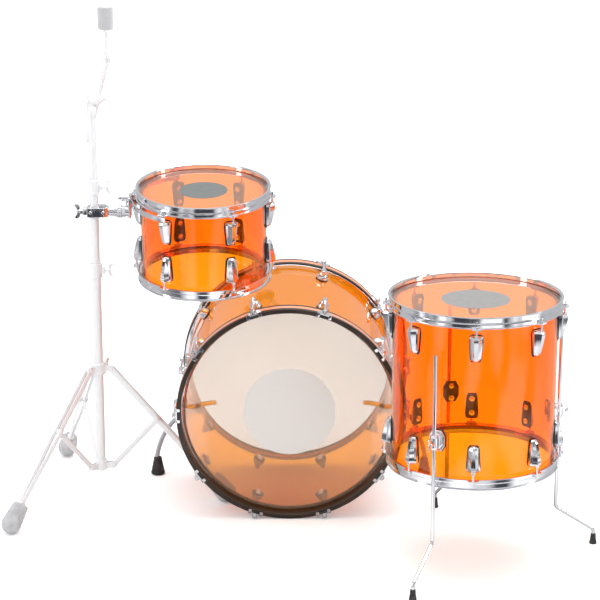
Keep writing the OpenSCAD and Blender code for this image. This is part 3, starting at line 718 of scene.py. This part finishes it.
def claw(drum):
    """Pressed claw: a curved saddle on the hoop, two prongs over its face and a boss for the rod."""
    outer = drum.r + BASS_HOOP_OUT + 0.15
    saddle = wrapped(fillet(CLAW_OUTLINE, 3), outer, outer, outer + CLAW_SHEET, 6)
    prong = soft_block((-4.5, outer - 10, 0.1), (4.5, outer + CLAW_SHEET, 0.1 + CLAW_SHEET), 0.9)
    lip = soft_block((-20, outer - 2.5, 0.1), (20, outer + CLAW_SHEET - 0.6, 0.1 + CLAW_SHEET), 0.9)
    boss = moved(turned([(0, -13), (5, -13), (7.2, -9), (7.2, -0.5), (0, -0.5)], 1, 28),
                 shift(0, drum.r + BASS_ROD_OFFSET, 0.5))
    web = soft_block((-7, outer, -12), (7, drum.r + BASS_ROD_OFFSET, -0.4), 1.2)
    prongs = repeated(prong, [shift(-15.5), shift(15.5)])
    return moved(joined(saddle, prongs, lip, boss, web), shift(z=BASS_OVERHANG))


def bass_fittings(drum):
    """Lugs, claws, pads, rods and inner screws of the bass drum."""
    places = drum.lug_places(BASS_LUG_CENTRE)
    drum.piece("cast_lugs", repeated(bass_lug(drum.r), places), node="bass_lugs")
    drum.piece("hoop_claws", repeated(claw(drum), drum.lug_places()), node="bass_claws")
    face = drum.r + BASS_HOOP_OUT
    pad = soft_block((-10, face - 8, 0.05), (10, face + 0.1, 1.7), 0.5)
    pads = repeated(moved(pad, shift(z=BASS_OVERHANG)), drum.lug_places())
    drum.piece("claw_pads", pads, body=NODE_BODY["bass_claws"], slot="black_rubber")
    key_rods(drum, BASS_OVERHANG + 60, 30, BASS_ROD_OFFSET, BASS_OVERHANG)
    lug_screws(drum, places, BASS_LUG_SCREWS)


# ---- shared fittings


def wing_screw(shank, wing):
    """Cast wing screw along +Z: stem, hub and two wings that open upwards."""
    hub = lathe([(0, 0), (3, 0), (3, shank), (5.4, shank), (6, shank + 1.5), (5.6, shank + 6),
                 (4.2, shank + 9.5), (0, shank + 10.4)], 28)
    side = [(1, 1.5), (0.75 * wing, 3), (1.1 * wing, 8.5), (wing, 11 + 0.42 * wing), (0.5 * wing, 12),
            (1, 9)]
    blade = softened(prism(fillet(side, wing * 0.22, steps=5), -1.7, 1.7), 1.0, 3)
    moved(blade, shift(z=shank), TO_MINUS_Y)
    return joined(hub, repeated(blade, [shift(), turn(180, "Z")]))


def toothed_disc(radius, thickness, teeth=28):
    """Ratchet disc along +Z with radial teeth round its rim."""
    outline = []
    for k in range(teeth):
        for share, reach in ((0, radius - 1.3), (0.3, radius), (0.6, radius)):
            angle = math.tau * (k + share) / teeth
            outline.append((reach * math.cos(angle), reach * math.sin(angle)))
    return softened(prism(outline, 0, thickness), 0.25, 1)


def dome_bolt(radius, height):
    """Round rivet or bolt head along +Z."""
    side = [(radius, 0), (radius, 0.4 * height), (0.8 * radius, 0.8 * height)]
    return lathe([(0, 0), *side, (0, height)], 24)


def column_frame(point):
    """Upright frame on the floor below a point."""
    return shift(*point[:2])


def facing(centre, tip):
    """Upright frame on the floor below the centre, with local X towards the tip."""
    angle = math.atan2(tip.y - centre.y, tip.x - centre.x)
    return column_frame(centre) @ Matrix.Rotation(angle, 4, "Z")


def box_middle(node):
    return sum(box(node), Vector()) / 2


def box_height(node):
    low, high = box(node)
    return high.z - low.z


def rubber_foot(name, node, shape):
    """Foot that stands upright on the floor in its node's place."""
    piece(name, shape, node=node, place=column_frame(box_middle(node)))


JOINTS = {joint["name"]: joint for joint in frame["joints"]}


def hinge_point(name):
    return Vector(JOINTS[name]["pos_m"]) / MM


def upright_hinge(name):
    """Frame at a level hinge: local Y along its axis and Z up."""
    along = Vector(JOINTS[name]["axis"]).normalized()
    columns = (along.cross(Vector((0, 0, 1))), along, Vector((0, 0, 1)))
    return shift(*hinge_point(name)) @ Matrix(columns).transposed().to_4x4()


# ---- floor tom legs

# How far the rods stand outside the wall, the brackets' height, and the outline of their base
LEG_OFFSET = 22
LEG_BRACKET_Z = 370
LEG_BASE = [(-12, -26), (12, -26), (20, -12), (20, 12), (12, 26), (-12, 26), (-20, 12), (-20, -12)]


def leg_bracket(r):
    """Octagonal cast base with a raised middle, and the barrel that the rod slides in."""
    outwards = shift(r + GASKET) @ TO_X @ turn(90, "Z")
    base = moved(softened(prism(LEG_BASE, 0, 6), 1.4, 3), outwards)
    step = [(x * 0.72, y * 0.72) for x, y in LEG_BASE]
    boss = moved(softened(prism(step, 5, 11), 2, 3), outwards)
    profile = [(4.9, -17), (9, -17), (10.4, -12), (10.4, 12), (9, 17), (4.9, 17)]
    barrel = moved(turned_ring(profile, 1, 36), shift(r + LEG_OFFSET))
    nut = turned([(0, 6), (7.4, 6), (7.4, 14), (0, 14)], 1.2, 6)
    return joined(base, boss, barrel, moved(nut, shift(r + LEG_OFFSET), TO_X))


def rubber_tip(height):
    """Tapered rubber foot with a foot rim and two grip grooves."""
    side = [(0, 0), (9.3, 0), (9.5, 3.5), (8.7, 6), (8.9, 7.5), (8.2, 9.2), (8.3, 10.8), (7.6, 12.5),
            (6.7, height - 1), (5.6, height), (0, height)]
    return turned(side, 0.6, 40, steps=3)


def floor_tom_legs(drum):
    """Feet, brackets and wing screws. The bent rods are the CAD's own."""
    brackets, screws = [], []
    for foot in ("front_leg_foot", "right_leg_foot", "back_leg_foot"):
        rubber_foot(foot + "_rubber", foot, rubber_tip(box_height(foot)))
        brackets.append(facing(box_middle("floor_tom_shell"), box_middle(foot)) @ shift(z=LEG_BRACKET_Z))
        screws.append(brackets[-1] @ shift(drum.r + LEG_OFFSET + 7) @ TO_X)
    piece("floor_tom_cast_brackets", repeated(leg_bracket(drum.r), brackets), node="floor_tom_leg_brackets")
    piece("floor_tom_wing_screws", repeated(wing_screw(9, 14), screws), node="leg_wing_screws")
    nuts = joined(*[pan_screw(drum.r, z) for z in (-17, 17)])
    inner = [place @ turn(-90, "Z") for place in brackets]
    piece("floor_tom_bracket_nuts", repeated(nuts, inner),
          body=NODE_BODY["floor_tom_leg_brackets"], slot="chrome")


def spur_feet():
    """Rubber cones of the bass drum's spurs, with a rounded rim and a collar."""
    for side in ("left", "right"):
        node = side + "_spur_foot"
        top = box_height(node)
        profile = [(0, 0), (16, 0), (20, 5), (18.6, 9), (11.4, top - 6), (11.8, top - 4), (10.2, top),
                   (0, top)]
        rubber_foot(side + "_spur_rubber", node, turned(profile, 1.6, 48))


# ---- tom mount

# Band: distance outside the wall, drop from the rim, and the degrees it starts at and spans
BAND_OUT = 22
BAND_DROP = 22.5
BAND_START = 113
BAND_SWEEP = 128


def suspension(drum):
    """Steel band hung from three tension rods through rubber grommets, and its bracket."""
    band_z = drum.length / 2 - BAND_DROP
    reach = drum.r + BAND_OUT
    band = square_ring(reach, reach + 2.2, -7, 7, 0.9, 72, steps=3, start=BAND_START, sweep=BAND_SWEEP)
    moved(band, shift(z=band_z))
    spins = [turn(TOM_LUGS[1] - 60 * i, "Z") for i in range(3)]
    at_rod = shift(0, drum.r + ROD_OFFSET, band_z)
    tab = soft_block((-5, 1, -4), (5, 6.5, 4), 1)
    cup = square_ring(3.2, 7, -5, 5, 1, 28)
    cups = repeated(moved(joined(tab, cup), at_rod), spins)
    drum.piece("steel_band", joined(band, cups), node="tom_suspension_band")
    half = turned_ring([(3.1, 5), (6.2, 5), (6.6, 8.5), (3.1, 8.5)], 0.8, 24)
    grommet = repeated(half, [shift(), turn(180, "X")])
    drum.piece("grommets", repeated(moved(grommet, at_rod), spins),
               body=NODE_BODY["tom_suspension_band"], slot="black_rubber")
    plate = soft_block((-reach - 10, -24, band_z - 48), (-reach - 2.3, 20, band_z + 8), 2.2, 3)
    rib = soft_block((-reach - 16, -14, band_z - 46), (-reach - 9, -9, band_z - 4), 1.4)
    ribs = repeated(rib, [shift(), shift(y=18)])
    stub = joined(rod(8, -20, 2, 32, 1.5), soft_block((-3, -3, -28), (3, 3, -19)))
    moved(stub, shift(-reach - 9, -2, band_z + 1), TO_X)
    bolts = [moved(dome_bolt(5, 3), shift(-reach - 10, y, band_z - 12), TO_MINUS_X) for y in (-17, 15)]
    hinge = hinge_point("tom_tilt")
    disc = moved(toothed_disc(15, 9), shift(*hinge), TO_X)
    hub = moved(turned([(0, 8), (13.6, 8), (13.6, 19), (10, 23), (0, 23)], 1.4, 36), shift(*hinge), TO_X)
    parts = moved(joined(plate, ribs, stub, *bolts), drum.frame)
    piece("tom_cast_bracket", joined(parts, disc, hub), node="tom_mount_bracket")


def tom_clamp():
    """Arm with its ratchet disc, split clamp round the stand tube and the wing bolt that shuts it."""
    hinge, column = hinge_point("tom_tilt"), hinge_point("tom_swing")
    along = shift(*hinge) @ TO_X
    disc = moved(toothed_disc(17, 11.4), along, shift(z=-12))
    neck = [(0, -37), (10, -37), (12, -34), (12, -21), (14, -19), (14, -12), (0, -12)]
    arm = moved(turned(neck, 1, 36), along)
    pin = moved(rod(5, -2, 9, 24), along)
    piece("tom_ratchet_arm", joined(disc, arm, pin), node="tom_mount_arm")
    place = shift(*column)
    jaw = fillet([(-19, -17), (-4, -20), (26, -19), (37, -12), (37, 12), (26, 19), (-4, 20), (-19, 17)], 3)
    body = softened(prism(jaw, -13, 13), 1.6, 3)
    lid = [(-16, 13), (34, 13), (30, 17), (4, 17)]
    lid = moved(softened(prism(lid, -12, 12), 1.2), TO_MINUS_Y)
    collar = square_ring(12.2, 17, -15.5, 15.5, 1.2, 40)
    ear = soft_block((-30, -9, -9), (-17, 9, 9), 2, 3)
    bolts = [moved(dome_bolt(4.4, 2.6), shift(x, -19, 0), TO_MINUS_Y) for x in (-9, 24)]
    piece("tom_split_clamp", joined(body, lid, collar, ear, *bolts), node="tom_clamp", place=place)
    nut = lathe([(4.4, 0), (8.6, 0), (8.6, 7), (4.4, 7)], 6, ring=True)
    nut = moved(softened(nut, 0.6), shift(z=11.5))
    screw = moved(joined(wing_screw(16, 18), nut), shift(-19), TO_MINUS_X)
    piece("tom_wing_bolt", screw, node="tom_clamp_wing_bolt", place=place)


# ---- boom stand

STAND_LEGS = ("near", "right", "far")

# Heights of both collars, reach of the leg pivots and of the feet, and what follows from them
HUB_Z = 366
BRACE_Z = 92
PIVOT_R = 36
FOOT_BALL = 26
FOOT_REACH = 343
LEG_SLOPE = math.degrees(math.atan2(HUB_Z - FOOT_BALL, FOOT_REACH - PIVOT_R))
LEG_LENGTH = math.hypot(HUB_Z - FOOT_BALL, FOOT_REACH - PIVOT_R)
BRACE_LENGTH = (HUB_Z - BRACE_Z) / 2 / math.sin(math.radians(LEG_SLOPE))
BASE_TUBE_R = 12.7
MIDDLE_TUBE_R = 11.2


def stand_leg_frame(name):
    """Frame on the floor at the column, with local X towards one leg."""
    return facing(hinge_point("tom_swing"), hinge_point(f"stand_leg_{name}_fold"))


def strap(start, end, width, thickness, y=0, splay=0):
    """Pressed strap along X with round ends and a shallow stiffening rib."""
    half = width / 2
    outline = arc(half, 90, 270, 12, (start, 0)) + arc(half, -90, 90, 12, (end, 0))
    plate = softened(prism(outline, -thickness / 2, thickness / 2), 0.8, angle=40)
    wide, deep = 0.35 * half, 0.85 * thickness
    rib = soft_block((start + half, -wide, -deep), (end - half, wide, deep), 0.9)
    return moved(joined(plate, rib), shift(y=y), turn(splay, "Z"), TO_MINUS_Y)


def rivets(x, half_width, radius=5):
    """Rivet across Y with a dome on both sides."""
    head = moved(dome_bolt(radius, 2.4), shift(x), TO_Y, shift(z=half_width))
    pin = moved(rod(radius * 0.55, -half_width, half_width), shift(x), TO_MINUS_Y)
    return joined(head.copy(), moved(head, Matrix.Scale(-1, 4, (0, 1, 0))), pin)


def stand_leg(name):
    """Two upper straps, two lower straps that close towards the foot, and their socket."""
    line = stand_leg_frame(name) @ shift(PIVOT_R, 0, HUB_Z) @ turn(LEG_SLOPE, "Y")
    upper = [strap(0, BRACE_LENGTH + 4, 15, 2.6, y) for y in (-7, 7)]
    lower_length = LEG_LENGTH - BRACE_LENGTH - 46
    at_brace = [shift(BRACE_LENGTH - 4, side * 10.4) @ turn(-side * 2.0, "Z") for side in (-1, 1)]
    lower = repeated(strap(0, lower_length, 14, 2.6), at_brace)
    socket = soft_block((LEG_LENGTH - 64, -6.5, -8.5), (LEG_LENGTH - 38, 6.5, 8.5), 1.6, 3)
    pins = joined(rivets(0, 9), rivets(BRACE_LENGTH, 12.2), rivets(LEG_LENGTH - 56, 7.4, 4))
    piece(f"stand_leg_{name}_straps", joined(*upper, lower, socket, pins),
          node=f"stand_leg_{name}", place=line)


def stand_brace(name):
    """Strap from the lower collar to the leg's middle joint."""
    line = stand_leg_frame(name) @ shift(PIVOT_R, 0, BRACE_Z) @ turn(-LEG_SLOPE, "Y")
    shape = joined(strap(0, BRACE_LENGTH - 0.5, 14, 4.2), rivets(0, 8.2, 4.5))
    piece(f"stand_brace_{name}_strap", shape, node=f"stand_brace_{name}", place=line)


def stand_foot(name):
    """Soft rubber boot with a ball end, a lip and three grooves."""
    place = stand_leg_frame(name) @ shift(FOOT_REACH, 0, FOOT_BALL) @ turn(LEG_SLOPE - 90, "Y")
    ball = [(0, -FOOT_BALL), *arc(FOOT_BALL, -90, 10, 14)[1:]]
    sleeve = [(25, 10), (24.2, 12), (25.2, 14), (24.4, 22), (23.3, 24), (24, 26), (23.2, 34), (22.2, 36),
              (22.8, 38), (20.9, 53), (19.4, 56), (12, 56.5), (0, 56.5)]
    piece(f"stand_foot_{name}_boot", lathe(ball + sleeve, 48),
          node=f"stand_foot_{name}", place=place, sharp=40)


def hub_collar():
    """Sliding collar with three ears for the legs and a wing screw."""
    column = column_frame(hinge_point("tom_swing"))
    profile = [(BASE_TUBE_R + 0.1, -16), (18, -16), (20, -13), (20, -9), (18.6, -7),
               (18.6, 7), (20, 9), (20, 13), (18, 16), (BASE_TUBE_R + 0.1, 16)]
    collar = moved(turned_ring(profile, 0.8, 48, steps=2), column, shift(z=HUB_Z))
    ear = joined(strap(22.5, PIVOT_R, 17, 7), rivets(PIVOT_R, 4.4, 4))
    ears = repeated(ear, [stand_leg_frame(name) @ shift(z=HUB_Z) for name in STAND_LEGS])
    screw = moved(wing_screw(8, 15), column, shift(z=HUB_Z + 4), turn(50, "Z"), shift(17), TO_X)
    piece("stand_hub_casting", joined(collar, ears, screw), node="stand_hub_collar")


def height_lock(node, tube_r):
    """Split clamp with rolled rims, its pinch lugs and the wing screw."""
    half = box_height(node) / 2
    r = tube_r + 3.4
    profile = [(tube_r + 0.15, -half), (r + 0.6, -half), (r + 0.6, 4 - half), (r, 6 - half), (r, half - 6),
               (r + 0.6, half - 4), (r + 0.6, half), (tube_r + 0.15, half)]
    sleeve = turned_ring(profile, 0.7, 48, steps=3)
    pinch = [soft_block((r - 1, y, -10), (r + 9, y + 6.2, 10), 1.6, 3) for y in (-7.4, 1.2)]
    bolt = moved(dome_bolt(4, 2.6), shift(r + 4, -7.2, 4), TO_MINUS_Y)
    screw = moved(wing_screw(6, 17), shift(r + 8), TO_X)
    place = column_frame(hinge_point("tom_swing")) @ shift(z=box_middle(node).z)
    piece(node + "_casting", joined(sleeve, *pinch, bolt, screw), node=node, place=place)


def boom_tilter():
    """Both halves of the boom's ratchet joint, with their wing nuts."""
    place = upright_hinge("boom_tilt")
    socket = turned_ring([(9.9, -40), (13.2, -40), (13.2, -26), (12.4, -22), (9.9, -22)], 1, 40, steps=3)
    cap = turned([(0, -23), (12.6, -23), (13.2, -20), (9, -16), (0, -16)], 1, 40)
    cheek = soft_block((-9, -8.5, -21), (9, 2, 0), 2.4, 3)
    disc = moved(toothed_disc(15, 12, 32), shift(y=-9), TO_Y)
    piece("boom_ratchet_base", joined(socket, cap, cheek, disc), node="boom_tilter_base", place=place)
    half = moved(toothed_disc(15, 8, 32), shift(y=3.4), TO_Y)
    side = [(0, 10.5), (12.6, 10.5), (14.6, 14), (14.6, 24), (11, 29.4), (0, 29.4)]
    barrel = moved(turned(side, 1.6, 40), TO_Y)
    pin = moved(rod(4, -14, 4, 20), TO_Y)
    inner = moved(wing_screw(4, 17), shift(y=-12), TO_MINUS_Y)
    outer = moved(wing_screw(6, 15), shift(y=29), TO_Y)
    piece("boom_ratchet_clamp", joined(half, barrel, pin, inner, outer), node="boom_tilter_clamp",
          place=place)


BOOM_RADIUS = 6.35
BOOM_BELOW = 129


def boom_frame():
    """Frame where the boom crosses its clamp, local Z along the boom, and the reach to its top joint."""
    hinge = upright_hinge("boom_tilt")
    reach = hinge.inverted() @ hinge_point("cymbal_tilt")
    lean = math.degrees(math.atan2(reach.x, reach.z))
    return hinge @ turn(lean, "Y") @ shift(y=reach.y), math.hypot(reach.x, reach.z)


def boom():
    """Boom rod with a ribbed grip at its lower end and a forked head."""
    place, reach = boom_frame()
    side = [(0, 0), (6.6, 0), (7.5, 1.2)]
    for k in range(7):
        z = 3 + 4.6 * k
        side += [(7.5, z), (7.5, z + 3), (6.9, z + 3.4), (6.9, z + 4.2)]
    grip = moved(lathe(side + [(7.5, 35.6), (6.4, 36.6), (0, 36.6)], 40), shift(z=-BOOM_BELOW))
    bar = rod(BOOM_RADIUS, 30 - BOOM_BELOW, reach - 20, 40)
    ferrule = moved(turned([(0, -26), (8, -26), (9, -23), (9, -15), (0, -13)], 1, 40), shift(z=reach))
    fork = soft_block((-6.6, 2.1, reach - 17), (6.6, 6.9, reach), 1)
    knuckle = moved(toothed_disc(8.2, 5, 20), shift(0, 2, reach), TO_Y)
    piece("boom_bar", joined(grip, bar, ferrule, fork, knuckle), node="boom_arm", place=place)


SEAT_Z = 71
ROD_Y = -3.6
FELT_R = 20.2


def felt_sleeve(top):
    """Round felt with a fuzzy side and a slightly worn top edge."""
    side = [(4.2, SEAT_Z), (FELT_R - 1, SEAT_Z), (FELT_R, SEAT_Z + 3), (FELT_R, top - 3),
            (FELT_R - 1.4, top), (4.2, top)]
    sleeve = turned_ring(side, 1.6, 96)
    for _ in range(3):
        edges = [edge for edge in sleeve.edges if edge.calc_length() > 4]
        bmesh.ops.subdivide_edges(sleeve, edges=edges, cuts=1, use_grid_fill=True)
    for vert in sleeve.verts:
        fuzz = noise.fractal(vert.co * 0.16, 0.9, 2.1, 4)
        vert.co += Vector((vert.co.x, vert.co.y, 0)).normalized() * (0.55 * fuzz - 0.25)
        if vert.co.z > top - 4:
            vert.co.z -= 0.9 + 0.9 * noise.noise(vert.co * 0.45)
    return sleeve


def cymbal_holder():
    """Toothed cymbal tilter with its wing nut, rod and seat, and the felt sleeve on the rod."""
    place = upright_hinge("cymbal_tilt")
    disc = moved(toothed_disc(9, 7.4, 20), shift(y=-6), TO_Y)
    pin = moved(rod(3.4, -2, 10.5, 20), TO_Y)
    wing = moved(wing_screw(4, 14), shift(y=-5), TO_MINUS_Y)
    seat = [(0, 2), (5, 2), (5, SEAT_Z - 8), (9, SEAT_Z - 3), (14, SEAT_Z - 3), (14, SEAT_Z - 0.1),
            (4, SEAT_Z - 0.1), (0, SEAT_Z - 0.1)]
    post = moved(turned(seat, 0.8, 36), shift(y=ROD_Y))
    top = SEAT_Z + box_height("cymbal_sleeve")
    tip = moved(thread(4, SEAT_Z - 1, top + 1.4), shift(y=ROD_Y))
    piece("cymbal_ratchet", joined(disc, pin, wing, post, tip), node="cymbal_tilter", place=place)
    piece("cymbal_felt", felt_sleeve(top), node="cymbal_sleeve", place=place @ shift(y=ROD_Y), sharp=60)


# ---- build


tom = Drum("tom", TOM_LEAN, True, TOM_LUGS)
floor_tom = Drum("floor_tom", 0, True, FLOOR_TOM_LUGS)
bass = Drum("bass", BASS_RISE, False, BASS_LUGS)

for drum in (tom, floor_tom, bass):
    drum.piece("acrylic_shell", shell_shape(drum), node=drum.prefix + "_shell")
for drum in (tom, floor_tom):
    heads(drum, (BATTER_FILM, BOTTOM_FILM), drum.r + 8.5, -3.6)
    flanged_hoops(drum)
heads(bass, (FINISHES["frosted_film"], FINISHES["clear_film"]), bass.r + 13, -8.2)
centre_dot(tom, 64, DOT_GREY)
centre_dot(floor_tom, 85, DOT_PALE)
centre_dot(bass, 121, DOT_WHITE)
tom_lug_sets(tom)
tom_lug_sets(floor_tom)
bass_hoops(bass)
bass_fittings(bass)
floor_tom_legs(floor_tom)
spur_feet()
suspension(tom)
tom_clamp()
for name in STAND_LEGS:
    stand_leg(name)
    stand_brace(name)
    stand_foot(name)
hub_collar()
height_lock("lower_height_lock", BASE_TUBE_R)
height_lock("upper_height_lock", MIDDLE_TUBE_R)
boom_tilter()
boom()
cymbal_holder()

for name, node in frame["nodes"].items():
    if not node.hide_render:
        for material_slot in node.material_slots:
            material_slot.material = FINISHES[NODE_SLOT[name]]


# ---- studio


def mirrored_mix(tree, seen, mirrored):
    """One shader for what is seen directly or through glass, and another for what is mirrored."""
    path = wired(tree, "LightPath").outputs
    reflected = arithmetic(tree, "SUBTRACT", path["Is Glossy Ray"], path["Is Transmission Ray"])
    mix = wired(tree, "MixShader", Fac=reflected)
    tree.links.new(seen, mix.inputs[1])
    tree.links.new(mirrored, mix.inputs[2])
    return mix.outputs["Shader"]


def floor_finish():
    """Pale, very slightly mottled floor. Chrome mirrors it dimmer, with broad dark and bright patches in front: a
    painted reflection that only mirrored rays see.
    """
    finish = Finish("studio_floor", Roughness=0.75, Specular_IOR_Level=0.15, Emission_Color=(1, 1, 1, 1),
                    Emission_Strength=0.16)
    finish.colours(finish.noise(1.5, 3), [(0.3, (0.92, 0.92, 0.92)), (0.7, (0.95, 0.95, 0.95))])
    tree = finish.tree
    # painted reflection: dark and bright patches in front and an even grey further back, seen only by mirrored
    # rays
    spread = ranged(tree, finish.noise(0.9, 1), 0.44, 0.56)
    painted_reflection_patches = mixed_colour(tree, spread, (0.04, 0.04, 0.05, 1), (0.88, 0.88, 0.90, 1))
    place = wired(tree, "SeparateXYZ", Vector=finish.coordinates).outputs
    painted_reflection_tone = mixed_colour(tree, ranged(tree, place["Y"], -0.9, 0.1), painted_reflection_patches, (0.36, 0.36, 0.37, 1))
    dim = wired(tree, "BsdfDiffuse", Color=painted_reflection_tone)
    mix = mirrored_mix(tree, finish.shader.outputs["BSDF"], dim.outputs["BSDF"])
    filled(tree, tree.nodes["Material Output"], Surface=mix)
    return finish.material


def floor(half=14.0):
    """Large square of floor, in metres."""
    mesh = bpy.data.meshes.new("floor")
    corners = [(-half, -half, 0), (half, -half, 0), (half, half, 0), (-half, half, 0)]
    mesh.from_pydata(corners, [], [(0, 1, 2, 3)])
    mesh.materials.append(floor_finish())
    placed("floor", mesh)


def softbox(name, place, aim, size, power):
    """Rectangular lamp that points at a spot and isn't seen by the camera."""
    lamp = bpy.data.lights.new(name, "AREA")
    lamp.shape = "RECTANGLE"
    lamp.size, lamp.size_y = size
    lamp.energy = power
    made = placed(name, lamp)
    made.location = place
    made.rotation_euler = (Vector(aim) - Vector(place)).to_track_quat("-Z", "Y").to_euler()
    made.visible_camera = False


# Grey of the mirrored room, from straight down at 0 to straight up at 1
MIRRORED_BANDS = [(0.0, 0.10), (0.49, 0.04), (0.53, 0.05), (0.57, 0.85), (0.68, 0.92), (0.72, 0.20),
                  (0.80, 0.26), (0.86, 0.86), (1.0, 0.80)]


def surroundings():
    """Bright studio for glass and floor, with a banded room for the chrome to mirror."""
    world = bpy.data.worlds.new("studio")
    bpy.context.scene.world = world
    world.use_nodes = True
    tree = world.node_tree
    seen = filled(tree, tree.nodes["Background"], Color=(1.0, 1.0, 1.0, 1), Strength=1.06)
    direction = wired(tree, "SeparateXYZ", Vector=wired(tree, "TexCoord").outputs["Generated"]).outputs
    stops = [(position, (grey, grey, grey * 1.03)) for position, grey in MIRRORED_BANDS]
    bands = ramp(tree, ranged(tree, direction["Z"], -1, 1), stops)
    room = mixed_colour(tree, ranged(tree, direction["Y"], 0.0, 0.35), bands, (0.62, 0.62, 0.63, 1))
    mirrored = wired(tree, "Background", Color=room)
    mix = mirrored_mix(tree, seen.outputs["Background"], mirrored.outputs["Background"])
    filled(tree, tree.nodes["World Output"], Surface=mix)


CAMERA_PLACE = (0.007, -5.1645, 2.065)
CAMERA_DIP = math.radians(15.77)
CAMERA_LENS = 125.2


def camera():
    """Long lens a little above the drums, looking slightly down from the drummer's side."""
    data = bpy.data.cameras.new("camera")
    data.lens = CAMERA_LENS
    data.sensor_width = 36
    made = placed("camera", data)
    made.location = CAMERA_PLACE
    made.rotation_euler = (QUARTER - CAMERA_DIP, 0, 0)
    bpy.context.scene.camera = made


floor()
surroundings()
softbox("overhead", (0.2, 0.4, 3.4), (0, 0.1, 0.3), (3.2, 2.6), 95)
softbox("left_side", (-3.4, -1.2, 1.9), (-0.1, 0.1, 0.6), (0.7, 2.2), 22)
softbox("right_side", (3.4, -0.6, 1.7), (0.2, 0.0, 0.5), (0.5, 2.0), 16)
camera()
bpy.context.scene.view_settings.view_transform = "Standard"
